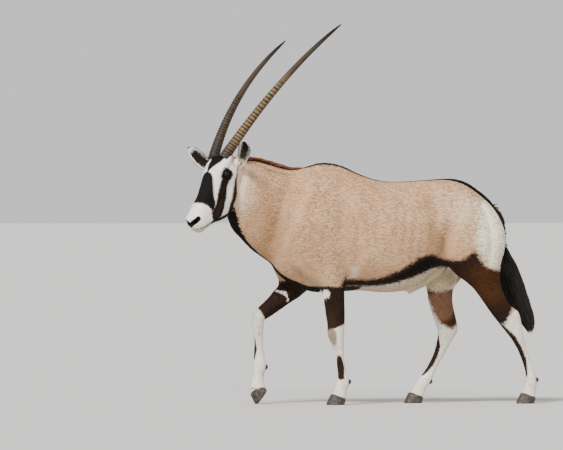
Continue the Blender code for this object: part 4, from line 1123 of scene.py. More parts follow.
def region_of(points):
    """Which places are on the head or an ear, and where they are in the head's frame."""
    local = head_local(points)
    far, _ = to_path(local, HEAD_CORE)
    middle, reach, half = section_at(local[:, 0])
    out = (np.abs(local[:, 1]) / half) ** 1.7 + (np.abs(local[:, 2] - middle) / reach) ** 1.7
    is_head = (far < HEAD_REACH) & (local[:, 0] < NAPE)
    is_head &= (local[:, 2] > JAW_FLOOR) | (out < JAW_OUT)
    for name in EAR_SIDES:
        is_head |= ear_place(local, name)[3]
    return is_head, local


def behind_line(chart):
    """Signed distance behind the cheek line, towards the neck."""
    far, _ = to_path(chart, CHEEK_LINE)
    at = np.interp(chart[:, 1], CHEEK_LINE[:, 1], CHEEK_LINE[:, 0])
    return np.where(chart[:, 0] > at, far, -far)


FAR_OUT = -0.2  # the signed distance of a marking that isn't there
KINDS = ("black", "brown", "rufous", "white")


def unmarked(points):
    """Every kind of marking, with none of it at the points."""
    return {kind: np.full(len(points), FAR_OUT) for kind in KINDS}


def lay(marks, kind, here, distance):
    """Adds a marking to its kind where it lies: the greater of the signed distances."""
    marks[kind] = np.where(here, np.maximum(marks[kind], distance), marks[kind])


def body_markings(points):
    """Throat, spine, flank band, belly and rump, seen from the side or along their lines."""
    side_view = points[:, [0, 2]]
    y, z = points[:, 1], points[:, 2]
    marks = unmarked(points)
    lay(marks, "black", z < 1.2, stroke(points, THROAT, THROAT_HALF))
    lay(marks, "black", z > 0.7, stroke(points, SPINE, SPINE_HALF))
    band = stroke(side_view, FLANK, FLANK_HALF)
    lay(marks, "rufous", np.abs(y) > FLANK_ASIDE, band)
    lay(marks, "black", np.abs(y) > FLANK_ASIDE, band - FLANK_EDGE)
    lay(marks, "black", y < 0, stroke(side_view, ELBOW_LINE, ELBOW_LINE_HALF))
    lay(marks, "white", z < BELLY_TOP, patch(side_view, BELLY))
    rump = step(-0.05, 0.06, patch(side_view, RUMP)) * step(0.03, 0.07, np.abs(y))
    marks["pale"] = np.maximum(rump, 0.5 * step(-0.02, 0.03, patch(side_view, BRISKET_PALE)))
    # Painted shade below: the white belly greyed as if in shade, and every place lower than about
    # half a metre a little.
    belly = step(-0.01, 0.02, patch(side_view, BELLY)) * (z < BELLY_TOP)
    marks["shade_below"] = np.maximum(0.8 * belly, 0.35 * (1 - step(0.48, 0.54, z)))
    return marks


def leg_markings(points, marks):
    """The dark upper part of each leg, its white lower part and its cannon's dark line."""
    side_view = points[:, [0, 2]]
    y, z = points[:, 1], points[:, 2]
    leg, leg_far = nearest_leg(points)
    for k, name in enumerate(LEGS):
        here = (leg == k) & (leg_far < LEG_REACH)
        point, up = (np.array(v) for v in LEG_ENDS[name])
        above = (side_view - point) @ (up / np.linalg.norm(up))
        if name.startswith("fore"):
            top = FOREARM_TOP[name] - z
            lay(marks, "brown", here & (z < 0.62), np.minimum(above, top))
            lay(marks, "white", here & (z < 0.50), -above)
        elif name.endswith("left"):
            lay(marks, "rufous", here | (y < 0), patch(side_view, THIGH_DARK))
            lay(marks, "white", here & (z < 0.52), -above)
        else:
            lay(marks, "rufous", here, patch(side_view, THIGH_DARK_FAR))
            lay(marks, "white", here & (z < 0.60), 0.04)
        lay(marks, "brown", here, stroke(points, CANNON_LINES[name], CANNON_HALF[name]))
    streak = stroke(side_view, FAR_FOREARM_WHITE, FAR_FOREARM_HALF)
    for spot, left in ((patch(side_view, ELBOW_WHITE), True), (streak, False)):
        here = (np.abs(y) < 0.20) & ((y < 0) == left) & (spot > 0)
        lay(marks, "white", here, spot)
        for kind in ("brown", "black"):
            marks[kind] = np.where(here, -spot, marks[kind])


def head_markings(local):
    """The face's black patches, eye stripe, jaw, nose and lips, on its chart."""
    chart = face_chart(local)
    marks = unmarked(local)
    for outline in (NASAL_PATCH, CROWN_PATCH, EYE_BLACK):
        lay(marks, "black", True, patch(chart, outline))
    for line, halves in ((JAW_LINE, JAW_HALF), (NOSE_BAND, NOSE_HALF), (LIP_LINE, LIP_HALF)):
        lay(marks, "black", True, stroke(chart, line, halves))
    stripe = patch(chart, EYE_STRIPE)
    lay(marks, "black", True, np.minimum(stripe, STRIPE_EDGE - stripe))
    lay(marks, "brown", True, stripe)
    lay(marks, "brown", True, stroke(chart, CHEEK_LINE, CHEEK_HALF))
    tan = np.maximum(behind_line(chart), stroke(chart, TAN_STRIP, TAN_STRIP_HALF))
    lay(marks, "white", True, -tan)
    marks["pale"] = np.full(len(local), 0.35)
    below = chart[:, 1] / ROUND
    # Painted shade under the chin, on the muzzle's underside.
    marks["shade_below"] = 0.7 * step(-0.31, -0.34, local[:, 0]) * step(122, 132, below)
    return marks


def markings(points):
    """Every marking of the coat: signed distances for black, brown, rufous and white, and soft
    shares for pale, the painted shade below, the tan's tone with its painted shade and light, and
    the ears."""
    is_head, local = region_of(points)
    marks = body_markings(points)
    leg_markings(points, marks)
    for kind, values in head_markings(local).items():
        marks[kind] = np.where(is_head, values, marks[kind])
    marks |= {kind: np.zeros(len(points)) for kind in ("ear", "ear_rim", "ear_in")}
    for name in EAR_SIDES:
        share, to_rim, inner, here = ear_place(local, name)
        dark = np.maximum((share - 0.95) * EAR_LENGTH, (5 - to_rim) * 0.0006)
        dark = np.where(share > 0.3, dark, FAR_OUT)
        for kind, values in (
            ("black", dark), ("brown", FAR_OUT), ("white", 0.02), ("shade_below", 0.0),
            ("ear", share), ("ear_rim", to_rim), ("ear_in", inner.astype(float)),
        ):
            marks[kind] = np.where(here, values, marks[kind])
    side_view = points[:, [0, 2]]
    marks["rich"] = bells(side_view, RICH_BROWN)
    marks["specks"] = np.clip(bells(side_view, SPECKLED), 0, 1)
    crease_far, _ = to_path(points, NECK_CREASE)
    smudge = stroke(points, KNEE_SMUDGE, KNEE_SMUDGE_HALF)
    # Darker or paler tan: partly its own tone, partly painted shade and light, and painted shade
    # along the neck's crease.
    marks["shade"] = bells(side_view, TAN_TONE_SHADE_AND_LIGHT) + 0.7 * np.exp(-((crease_far / 0.007) ** 2))
    marks["olive"] = np.maximum(step(-0.012, 0.006, smudge), bells(side_view, CARPUS_SPOTS))
    return marks


def bells(places, table):
    """The sum of flat bells: each has its middle, its half sizes and its height."""
    total = np.zeros(len(places))
    for middle, size, height in table:
        far = np.linalg.norm((places - np.array(middle)) / np.array(size), axis=1)
        total += height * np.exp(-(far**2))
    return total


# Seen from the side: where the tan is darker or, below nought, paler. This is partly the tan's own
# tone and partly painted shade and light, such as painted shade on the lower neck and in the
# flank's hollow.
TAN_TONE_SHADE_AND_LIGHT = (
    ((-0.50, 0.86), (0.09, 0.16), 0.55),
    ((-0.62, 1.05), (0.07, 0.16), -0.45),
    ((-0.30, 0.78), (0.10, 0.12), 0.30),
    ((0.33, 0.83), (0.07, 0.10), 0.60),
    ((0.46, 0.98), (0.12, 0.12), -0.45),
    ((-0.20, 1.05), (0.16, 0.08), 0.10),
    ((0.10, 1.00), (0.20, 0.08), 0.15),
    ((-0.25, 0.62), (0.10, 0.05), -0.25),
    ((0.05, 0.74), (0.12, 0.06), 0.10),
)
# Where the thigh's dark patch is a rich brown
RICH_BROWN = (((0.615, 0.610), (0.140, 0.130), 1.0), ((0.425, 0.490), (0.090, 0.100), 2.8))
CARPUS_SPOTS = (((-0.510, 0.385), (0.008, 0.012), 0.7), ((-0.506, 0.350), (0.009, 0.012), 0.8))
# Where the coat is ticked with dark specks
SPECKLED = (
    ((-0.47, 0.97), (0.06, 0.09), 0.8),
    ((-0.33, 0.86), (0.08, 0.21), 0.9),
    ((-0.03, 0.87), (0.10, 0.09), 0.9),
    ((0.55, 0.74), (0.05, 0.05), 1.0),
)


# Horns, eyes and hooves


def horn_path(name, side, steps=420):
    """The horn's middle line: its rise and spread change evenly along it, and its places are
    the running sum of the way it points."""
    length = HORN_LENGTH[name]
    mark = np.linspace(0, length, steps)
    rise = np.radians(HORN_RISE[0] + (HORN_RISE[1] - HORN_RISE[0]) * mark)
    spread = np.radians(HORN_SPREAD[0] + (HORN_SPREAD[1] - HORN_SPREAD[0]) * mark)
    aim = np.stack([
        np.cos(rise) * np.cos(spread), side * np.sin(spread), np.sin(rise) * np.cos(spread),
    ], 1)
    run = np.cumsum((aim[1:] + aim[:-1]) / 2 * mark[1], 0)
    path = np.vstack([np.zeros(3), run]) + np.array(mirrored(HORN_PLACE, side))
    path -= aim[0] * HORN_ROOT * (1 - step(0, 0.03, mark))[:, None]
    return path, mark / length


def horn(name, side):
    """A tube along a bending line. Its radius shrinks with the share of the length. Over the
    ringed part the radius rises to a rounded ridge in each ring and falls to a narrow groove
    between two, strongest in front; the rings fade out half way up."""
    path, share = horn_path(name, side)
    sides = 28
    turn = turns(sides)
    ringed = np.clip(share / HORN_RINGED_SHARE, 0, 1.2)
    count = HORN_RINGS * ringed ** (1 / HORN_RING_CROWDING)
    wave = count[:, None] + 0.13 * np.cos(turn + 0.5 * side) + 0.07 * np.sin(3.3 * count)[:, None]
    from_groove = 0.5 - np.abs(wave % 1.0 - 0.5)
    ridge = step(0.03, 0.28, from_groove)
    fade = (1 - step(0.72, 1.0, ringed)) * step(0, 0.015, share)
    front = 0.75 + 0.25 * np.sin(turn)
    height = (HORN_RING_HEIGHT * (1 - 0.3 * ringed) * fade)[:, None] * front
    flutes = 1 + (0.010 * (1 - step(0.5, 0.8, share)))[:, None] * np.cos(7 * turn)
    radius = np.interp(share, *HORN_RADII)[:, None] * flutes + height * (ridge - 0.6)
    made = tube("horn_" + name, path, radius, sides, HORN_FLATNESS, (0, 0.05, 1))
    float_attribute(made.data, "along", np.repeat(share, sides))
    float_attribute(made.data, "ridge", (1 - (1 - ridge) * fade[:, None]).ravel())
    # How tan this horn's ridges are: partly wear, partly painted light on the near horn and painted
    # shade on the far one.
    float_attribute(made.data, "worn_and_lit", np.full(len(share) * sides, HORN_WEAR_AND_LIGHT[name]))
    made.data.transform(HEAD_MATRIX)
    return made


def eye(name, side):
    """A ball whose clear front bulges by a bell of the angle from the way it looks. The pupil
    is an ellipse of the angles along the lids and across them."""
    look = np.array(mirrored(EYE_LOOK, side).normalized())
    level = np.array(LID_LINE)
    level = unit(level - look * (level @ look))
    made = ball("eye_" + name, (0, 0, 0), (1, 1, 1), segments=64, rings=48)
    points = points_of(made)
    angle = np.degrees(np.arccos(np.clip(points @ look, -1, 1)))
    wide = np.degrees(np.arcsin(np.clip(points @ level, -1, 1)))
    tall = np.degrees(np.arcsin(np.clip(points @ np.cross(look, level), -1, 1)))
    float_attribute(made.data, "iris", angle)
    float_attribute(made.data, "pupil", np.hypot(wide / PUPIL_HALF[0], tall / PUPIL_HALF[1]))
    bulge = 1 + EYE_BULGE * np.exp(-((angle / 30) ** 4))
    points = points * (EYE_RADIUS * bulge)[:, None] + np.array(mirrored(EYE_PLACE, side))
    put_points(made, points)
    made.data.transform(HEAD_MATRIX)
    return made


def claw(name, place, tip, outer):
    """A half hoof: rows of a bulging outline, flat inside, that lean back as they rise."""
    steps = 31
    share = np.cos(np.linspace(0, math.pi, steps))
    bulge = (1 - np.abs(share) ** 2.4) ** 0.62
    ring_x = np.concatenate([share, share[-2:0:-1]])
    ring_y = np.concatenate([bulge, -0.16 * bulge[-2:0:-1]])
    level = np.concatenate([[0.0, 0.02], np.linspace(0.1, 1, 12), [1.03, 1.04]])
    size = np.interp(level, (0, 0.06, 0.6, 1.0, 1.04), (0.97, 1.0, 0.91, 0.80, 0.55))
    back = np.interp(level, (0, 0.1, 0.6, 1.04), (0, 0, 0.009, 0.015))
    wave = size * (1 + 0.012 * np.sin(level * 34) * step(0.1, 0.2, level))
    top = CLAW_HEIGHT * (0.80 - 0.20 * ring_x)
    x = ring_x * CLAW_LENGTH / 2 * wave[:, None] + back[:, None]
    across = CLAW_CLEFT / 2 + CLAW_WIDTH * (0.16 + 0.84 * ring_y * wave[:, None])
    points = np.stack([x, outer * across, level[:, None] * top], -1)
    made = closed(name, points, tube_faces(len(level), len(ring_x)))
    made.data.transform(Matrix.Translation(place) @ Matrix.Rotation(math.radians(-tip), 4, "Y"))
    if tip:
        points = points_of(made)
        points[:, 2] = np.maximum(points[:, 2], 0)
        put_points(made, points)
    return made


# Coat

LIE_TURNS = (0.50, 0.66)  # from down the legs to along the trunk, between these heights


def hair_lie(points, is_head, local):
    """The way the hair lies: back along the trunk, down the legs, from the nose back on the
    face, and out along each ear."""
    ones, none = np.ones(len(points)), np.zeros(len(points))
    down = 1 - step(*LIE_TURNS, points[:, 2])
    lie = np.stack([1 - 0.93 * down, none, -0.30 - 0.70 * down], 1)
    face = np.stack([ones, none, -0.25 * ones], 1) @ HEAD_TURN.T
    lie = np.where(is_head[:, None], face, lie)
    for name in EAR_SIDES:
        here = ear_place(local, name)[3]
        lie = np.where(here[:, None], HEAD_TURN @ ear_frame(name)[1], lie)
    return unit(lie)


class Skin:
    """The skin's arrays: its triangles, and what is known at each point."""

    def __init__(self, obj):
        """Reads the mesh, then works out its markings, the lie of its hair and its unwrap."""
        self.obj = obj
        mesh = obj.data
        mesh.calc_loop_triangles()
        corners = np.empty(len(mesh.loop_triangles) * 3, np.int32)
        mesh.loop_triangles.foreach_get("vertices", corners)
        self.corners = corners.reshape(-1, 3)
        self.points = points_of(obj)
        self.normals = points_of(obj, "normal")
        self.is_head, self.local = region_of(self.points)
        self.marks = markings(self.points)
        self.marks["bare"] = bare_share(self.local) * self.is_head
        self.lie = hair_lie(self.points, self.is_head, self.local)
        self.place = unwrap(self.points, self.is_head, self.local)
        self.tree = BVHTree.FromPolygons(self.points.tolist(), self.corners.tolist())
        a, b, c = (self.points[self.corners[:, k]] for k in range(3))
        self.area = np.linalg.norm(np.cross(b - a, c - a), axis=1) / 2

    def scatter(self, count, weight, rng):
        """Random places on the skin, as often as its area times the weight says. Returns a
        function that reads values of the skin's points at these places."""
        share = self.area * weight[self.corners].mean(1)
        face = rng.choice(len(share), count, p=share / share.sum())
        u, v = rng.random(count), rng.random(count)
        over = u + v > 1
        u, v = np.where(over, 1 - u, u), np.where(over, 1 - v, v)
        mix = np.stack([1 - u - v, u, v], 1)
        corners = self.corners[face]

        def at(values):
            """The mean of the values at a triangle's corners, by the place's shares of them."""
            picked = values[corners]
            return (picked * (mix if values.ndim == 1 else mix[..., None])).sum(1)

        return at


# Bare skin is full at the first distance and gone at the second
LID_BARE = (EYE_RADIUS + 2.2 * MM, EYE_RADIUS + 5.0 * MM)
SLIT_BARE = (11 * MM, 14 * MM)
HOLE_BARE = (13 * MM, 14.5 * MM)
HOLE_OFFSET = (0.016, 0.012, -0.004)  # the nostril's depth, from its slit's middle inwards


def bare_share(local):
    """How bare the skin is: 1 on the lids and in the nostrils, fading out round them."""
    bare = np.zeros(len(local))
    for side in (-1, 1):
        slit = np.array(NOSTRIL_PATH)[:, :3] * (1, side, 1)
        hole = slit[2] + np.array(HOLE_OFFSET) * (1, -side, 1)
        for far, span in (
            (far_from(local, mirrored(EYE_PLACE, side)), LID_BARE),
            (to_path(local, slit)[0], SLIT_BARE),
            (far_from(local, hole), HOLE_BARE),
        ):
            bare = np.maximum(bare, 1 - step(*span, far))
    return bare


def turn_share(across, up):
    """The share of a full turn at which a place lies."""
    return np.arctan2(across, up) / (2 * math.pi) + 0.5


def unwrap(points, is_head, local):
    """A place for each point on an unwrap: round and along the trunk, the head and each leg,
    each in its own tile."""
    round_trunk = turn_share(points[:, 1], points[:, 2] - 0.88)
    trunk = np.stack([(points[:, 0] + 0.8) / 1.7 * 0.96 + 0.02, 0.52 + 0.46 * round_trunk], 1)
    round_head = turn_share(local[:, 1], local[:, 2] + 0.09)
    head = np.stack([0.02 + (local[:, 0] + 0.42) / 0.72 * 0.44, 0.02 + 0.46 * round_head], 1)
    leg, _ = nearest_leg(points)
    x, y = np.zeros(len(points)), np.zeros(len(points))
    for k, name in enumerate(LEGS):
        line = LEG_LINES[name][::-1]
        x = np.where(leg == k, np.interp(points[:, 2], line[:, 2], line[:, 0]), x)
        y = np.where(leg == k, line[:, 1].mean(), y)
    round_leg = turn_share(points[:, 1] - y, points[:, 0] - x)
    legs = np.stack([0.52 + 0.115 * leg + 0.105 * round_leg, 0.02 + points[:, 2] / 0.65 * 0.46], 1)
    place = np.where((points[:, 2] < 0.60)[:, None], legs, trunk)
    return np.clip(np.where(is_head[:, None], head, place), 0.004, 0.996)


PATCH = 0.0015  # half the side of a tuft's patch on the unwrap
# The rows of a lock: its share of the length, of the width and of the rise
LOCK_ROWS = ((0.0, 0.75, 0.0), (0.35, 1.0, 0.75), (0.72, 0.66, 1.0))
# How far out along a lock each row lies; the coat paints each lock a little darker at its root as
# shade.
LOCK_OUT = (0.0, 0.4, 0.75, 1.0)
LOCK_THICKNESS = 0.10  # a share of its width
LOCK_ROOT = 0.5 * MM  # how deep a lock starts under the skin
LOCK_POINTS = 10  # three rows of three, and the tip
HAIR_ROOT = 0.002  # how deep a long hair starts under the skin
HAIR_SIDES = 3
RIDGE_ROWS = 5
# A lock's length, width and rise on the trunk, and how much less each is on the legs, on
# the feet and on the head
LOCK_SIZES = (
    (0.018, 0.006, 0.003, 0.010),
    (0.0042, 0.0016, 0, 0.0024),
    (0.0010, 0.0002, 0, 0.0004),
)
# Half sizes of the random changes to each lock
LOCK_SPREAD = 0.12
LOCK_CURL = 0.08


def lock_faces():
    """The triangles of one lock: two rings of quads, the tip, and the root's end."""
    faces = [(6, 7, 9), (7, 8, 9), (8, 6, 9), (0, 2, 1)]
    for low in (0, 3):
        for k in range(3):
            n = (k + 1) % 3
            faces += [(low + k, low + n, low + 3 + n), (low + k, low + 3 + n, low + 3 + k)]
    return np.array(faces)


def tufts(name, skin, count, weight, sizes, seed):
    """Flat tapered locks along the skin. Each is three rows of three points and a tip: the rows
    go out along the lie by their share of the length, stand off by their share of the rise, and
    are as wide as their share of the width."""
    rng = np.random.default_rng(seed)
    at = skin.scatter(count, weight, rng)
    length, width, rise = (at(size) for size in sizes)
    root, normal = at(skin.points), unit(at(skin.normals))
    lie = at(skin.lie) + rng.normal(0, LOCK_SPREAD, (count, 3))
    lie = unit(lie - normal * (lie * normal).sum(1)[:, None])
    across = np.cross(normal, lie)
    length = length * rng.uniform(0.7, 1.25, count)
    width = width * rng.uniform(0.7, 1.2, count)
    rise = rise * rng.uniform(0.6, 1.4, count)
    curl = rng.normal(0, LOCK_CURL, count)
    rows = []
    for share, broad, lift in LOCK_ROWS:
        stand = rise * lift - LOCK_ROOT
        middle = root + lie * (length * share)[:, None] + normal * stand[:, None]
        middle = middle + across * (length * curl * share**2)[:, None]
        half = across * (width * broad / 2)[:, None]
        thick = normal * (width * broad * LOCK_THICKNESS)[:, None]
        rows.append(np.stack([middle - half, middle + half, middle + thick], 1))
    tip = root + lie * length[:, None] + normal * (rise * 0.8)[:, None]
    tip = tip + across * (length * curl)[:, None]
    points = np.concatenate([*rows, tip[:, None]], 1)
    faces = lock_faces()
    triangles = faces[None] + (np.arange(count) * LOCK_POINTS)[:, None, None]
    made = triangle_mesh(name, points.reshape(-1, 3), triangles.reshape(-1, 3))
    for key, values in skin.marks.items():
        float_attribute(made.data, key, np.repeat(at(values), LOCK_POINTS))
    float_attribute(made.data, "tone", np.repeat(rng.uniform(-1, 1, count), LOCK_POINTS))
    # How far out along the lock each point lies, which gives the painted shade at its root.
    float_attribute(made.data, "out", np.tile(np.repeat(LOCK_OUT, (3, 3, 3, 1)), count))
    bake_map(made, at(skin.place), len(faces))
    return made


def bake_map(obj, place, faces_each):
    """A UV map in which each lock is a small patch at its root's place on the skin's unwrap."""
    layer = obj.data.uv_layers.new(name="OFBake")
    corner = np.array(((-1, -1), (1, -1), (0, 1))) * PATCH
    spots = np.repeat(place, faces_each, 0)[:, None] + corner[None]
    layer.data.foreach_set("uv", spots.astype(np.float32).ravel())


def strands(name, paths, widths, places, rng):
    """Long hairs. Each goes through its own path's points, three-sided, as wide as its width
    times a taper that falls towards the tip."""
    count, rows = paths.shape[:2]
    sides = HAIR_SIDES
    tangent = unit(np.gradient(paths, axis=1))
    aside = unit(np.cross(tangent, np.array((0.3, 1.0, 0.2))))
    rise = np.cross(aside, tangent)
    taper = np.interp(np.linspace(0, 1, rows), (0, 0.15, 0.7, 1), (0.7, 1, 0.7, 0.12))
    turn = turns(sides)
    radius = widths[:, None] / 2 * taper
    points = paths[:, :, None] + radius[..., None, None] * (
        aside[:, :, None] * np.cos(turn)[:, None] + rise[:, :, None] * np.sin(turn)[:, None]
    )
    faces = []
    for r in range(rows - 1):
        for k in range(sides):
            a, b = r * sides + k, r * sides + (k + 1) % sides
            faces += [(a, b, b + sides), (a, b + sides, a + sides)]
    last = (rows - 1) * sides
    faces = np.array([*faces, (0, 2, 1), (last, last + 1, last + 2)])
    triangles = faces[None] + (np.arange(count) * rows * sides)[:, None, None]
    made = triangle_mesh(name, points.reshape(-1, 3), triangles.reshape(-1, 3))
    float_attribute(made.data, "tone", np.repeat(rng.uniform(-1, 1, count), rows * sides))
    out = np.repeat(np.linspace(0, 1, rows), sides)
    float_attribute(made.data, "out", np.tile(out, count))
    bake_map(made, places, len(faces))
    return made


def row_at(line, share):
    """The rows of a line at shares of its length."""
    place = np.clip(share, 0, 1) * (len(line) - 1)
    return np.stack([np.interp(place, np.arange(len(line)), column) for column in line.T], 1)


def round_places(first, turn, left):
    """Places on the unwrap for hairs round a line: the share along it and the turn round it."""
    return np.stack([left + 0.2 * first, 0.02 + 0.96 * (turn / (2 * math.pi) % 1)], 1)


TUFT_SPREAD = 1.12  # how far the tuft's hairs go, as a share of its radius


def tail_hair(count, seed):
    """Hairs that leave the dock, spread to the tuft's width and hang along its middle line."""
    rng = np.random.default_rng(seed)
    axis = between(TUFT, 60)
    first = rng.beta(1.1, 1.5, count) * 0.74
    last = np.minimum(first + rng.uniform(0.26, 0.55, count), rng.uniform(0.88, 1.0, count))
    turn = rng.uniform(0, 2 * math.pi, count)
    out = np.stack([np.cos(turn), np.sin(turn), np.zeros(count)], 1)
    depth = np.sqrt(rng.uniform(0.05, 1, count))
    paths = []
    for t in np.linspace(0, 1, 6):
        row = row_at(axis, first + (last - first) * t)
        opened = 0.10 + 0.90 * math.sin(min(1, 1.5 * t) * math.pi / 2)
        spread = TUFT_SPREAD * row[:, 3] * depth * opened
        swing = 0.004 * t * np.sin(9 * t + turn * 3)
        paths.append(row[:, :3] + out * (spread + swing)[:, None])
    places = round_places(first, turn, 0.02)
    width = rng.uniform(1.6, 3.0, count) * MM
    return strands(f"tail_hair_{seed}", np.stack(paths, 1), width, places, rng)


def dock_hair(count):
    """Short hairs that lie down along the dock, above the tuft."""
    rng = np.random.default_rng(SEED + 3)
    axis = between(DOCK, 60)
    first = rng.uniform(0.10, 0.92, count)
    turn = rng.uniform(0, 2 * math.pi, count)
    out = np.stack([np.cos(turn), np.sin(turn), np.full(count, 0.1)], 1)
    paths = []
    for t in np.linspace(0, 1, 4):
        row = row_at(axis, first + 0.12 * t)
        paths.append(row[:, :3] + out * (row[:, 3] - HAIR_ROOT + 0.004 * t)[:, None])
    places = round_places(first, turn, 0.25)
    return strands("dock_hair", np.stack(paths, 1), rng.uniform(2.0, 3.2, count) * MM, places, rng)


def ridge_hair(name, skin, line, count, seed, length, rise, half, width, heights):
    """Hairs rooted in the skin nearest to a line, spread aside by a bell. Each lies back along
    the line, stands off the skin by a quarter sine of its rise, and leans aside. The heights
    are shares of the length and the rise at even steps of the line."""
    rng = np.random.default_rng(seed)
    crest = between(line, 80)
    first = rng.uniform(0, 0.99, count)
    scale = np.interp(first, np.linspace(0, 1, len(heights)), heights)
    long = rng.uniform(*length, count) * np.sqrt(scale)
    start = row_at(crest, first)
    ahead = row_at(crest, first + 0.04) - row_at(crest, first - 0.04)
    share = rng.normal(0, 0.5, count)
    lean = share + rng.normal(0, 0.3, count)
    start[:, 1] += half * share
    found = [skin.tree.find_nearest(Vector(place)) for place in start]
    root, normal = (np.array([hit[k] for hit in found]) for k in (0, 1))
    ahead = unit(ahead - normal * (ahead * normal).sum(1)[:, None])
    aside = np.cross(normal, ahead)
    paths = []
    for t in np.linspace(0, 1, RIDGE_ROWS):
        path = root + ahead * (long * t)[:, None] + aside * (lean * 0.3 * long * t)[:, None]
        off = rise * scale * math.sin(min(1, 1.35 * t) * math.pi / 2) - HAIR_ROOT
        paths.append(path + normal * off[:, None])
    places = round_places(first, share, 0.5)
    made = strands(name, np.stack(paths, 1), rng.uniform(*width, count) * MM, places, rng)
    dark = np.clip(first + rng.normal(0, 0.08, count) - 0.78, 0, 1)
    float_attribute(made.data, "dark", np.repeat(dark, RIDGE_ROWS * HAIR_SIDES))
    return made


def ear_hair(count):
    """Long pale hairs from the ear's edges that lie across its opening."""
    rng = np.random.default_rng(SEED + 5)
    paths, places = [], []
    for name, side in EAR_SIDES.items():
        half = count // 2
        _, aim, cup, across = ear_frame(name)
        share = rng.uniform(0.16, 0.88, half)
        edge = rng.choice((-1, 1), half)
        angle = np.radians(edge * (np.interp(share, *EAR_WRAP) - rng.uniform(2, 22, half)))
        outward = across * np.sin(angle)[:, None] - cup * np.cos(angle)[:, None]
        reach = np.interp(share, *EAR_REACH) - 3.5 * MM
        start = ear_middle(name, share) + outward * reach[:, None]
        inward = -across * edge[:, None]
        length = rng.uniform(0.010, 0.024, half)
        steps = []
        for t in np.linspace(0, 1, 5):
            lean = inward * 0.6 + aim * 0.75 + cup * (0.10 + rng.normal(0, 0.02, (half, 1)))
            steps.append(start + lean * (length * t)[:, None])
        paths.append(np.stack(steps, 1))
        places.append(np.stack([0.75 + 0.1 * share, 0.5 + 0.2 * side + 0.05 * edge], 1))
    paths = np.concatenate(paths) @ HEAD_TURN.T
    paths = paths + np.array(HEAD_MATRIX.translation)
    width = rng.uniform(0.5, 0.8, len(paths)) * MM
    return strands("ear_hair", paths, width, np.concatenate(places), rng)


# Materials


def linear(text, alpha=1.0):
    """An sRGB hex colour as linear numbers."""
    parts = [int(text[k:k + 2], 16) / 255 for k in (0, 2, 4)]
    return (*[p / 12.92 if p <= 0.04045 else ((p + 0.055) / 1.055) ** 2.4 for p in parts], alpha)


def add(tree, kind, inputs=(), out=0, **settings):
    """Adds a node with its settings, fills its inputs with values or links, and gives back one
    of its outputs."""
    node = tree.nodes.new(kind)
    for key, value in settings.items():
        setattr(node, key, value)
    for key, value in dict(inputs).items():
        if isinstance(value, bpy.types.NodeSocket):
            tree.links.new(value, node.inputs[key])
        else:
            node.inputs[key].default_value = value
    return node.outputs[out]


def new_material(name, roughness, specular, **constants):
    """A material's name and constants, set straight on its shader."""
    made = bpy.data.materials.new(name)
    made.use_nodes = True
    shader = made.node_tree.nodes["Principled BSDF"]
    constants = {"Roughness": roughness, "Specular IOR Level": specular, **constants}
    for key, value in constants.items():
        shader.inputs[key.replace("_", " ")].default_value = value
    return made, made.node_tree, shader


def cloud(tree, scale, low, high, to_low=0.0, to_high=1.0, stretch=(1, 1, 1), detail=2.0):
    """A noise in the object's own places, so many to the metre, between two levels."""
    place = add(tree, "ShaderNodeTexCoord", out="Object")
    place = add(tree, "ShaderNodeMapping", {"Vector": place, "Scale": stretch})
    wave = add(tree, "ShaderNodeTexNoise", {"Vector": place, "Scale": scale, "Detail": detail})
    levels = {
        "Value": wave, "From Min": low, "From Max": high, "To Min": to_low, "To Max": to_high,
    }
    return add(tree, "ShaderNodeMapRange", levels)


def share_of(tree, name, low, high, to_low=0.0, to_high=1.0):
    """An attribute taken from one span to another, with soft ends."""
    value = add(tree, "ShaderNodeAttribute", out="Fac", attribute_name=name)
    levels = {
        "Value": value, "From Min": low, "From Max": high, "To Min": to_low, "To Max": to_high,
    }
    return add(tree, "ShaderNodeMapRange", levels, interpolation_type="SMOOTHSTEP")


def edge_of(tree, name, push, soft):
    """How much of a marking there is: its signed distance, pushed about, over a soft edge."""
    far = add(tree, "ShaderNodeAttribute", out="Fac", attribute_name=name)
    moved = add(tree, "ShaderNodeMath", {0: far, 1: push}, operation="ADD")
    levels = {"Value": moved, "From Min": -soft, "From Max": soft}
    return add(tree, "ShaderNodeMapRange", levels, interpolation_type="SMOOTHSTEP")


def painted(tree, base, *layers):
    """Lays colours over a base one after another. A layer is one or more shares, whose product
    says how much of it there is, and then its colour. Colours are hex or links."""
    colour = linear(base) if isinstance(base, str) else base
    for *shares, above in layers:
        share = shares[0]
        for other in shares[1:]:
            share = add(tree, "ShaderNodeMath", {0: share, 1: other}, operation="MULTIPLY")
        above = linear(above) if isinstance(above, str) else above
        inputs = {0: share, 6: colour, 7: above}
        colour = add(tree, "ShaderNodeMix", inputs, 2, data_type="RGBA")
    return colour


def finish_shader(tree, shader, colour, height, strength, depth):
    """Joins the colour and a bump of the given depth to the shader."""
    tree.links.new(colour, shader.inputs["Base Color"])
    inputs = {"Height": height, "Strength": strength, "Distance": depth}
    tree.links.new(add(tree, "ShaderNodeBump", inputs), shader.inputs["Normal"])


def grain_of(tree):
    """Fine hair strokes about 2 mm wide and 12 mm long: along the trunk above 0.6 m, down the
    legs below it."""
    along = cloud(tree, 430, 0.30, 0.70, stretch=(0.20, 1, 0.75), detail=3.0)
    down = cloud(tree, 430, 0.30, 0.70, stretch=(1, 1, 0.20), detail=3.0)
    place = add(tree, "ShaderNodeTexCoord", out="Object")
    height = add(tree, "ShaderNodeSeparateXYZ", {0: place}, out="Z")
    levels = {"Value": height, "From Min": LIE_TURNS[0], "From Max": LIE_TURNS[1]}
    share = add(tree, "ShaderNodeMapRange", levels)
    return add(tree, "ShaderNodeMix", {0: share, 2: down, 3: along})


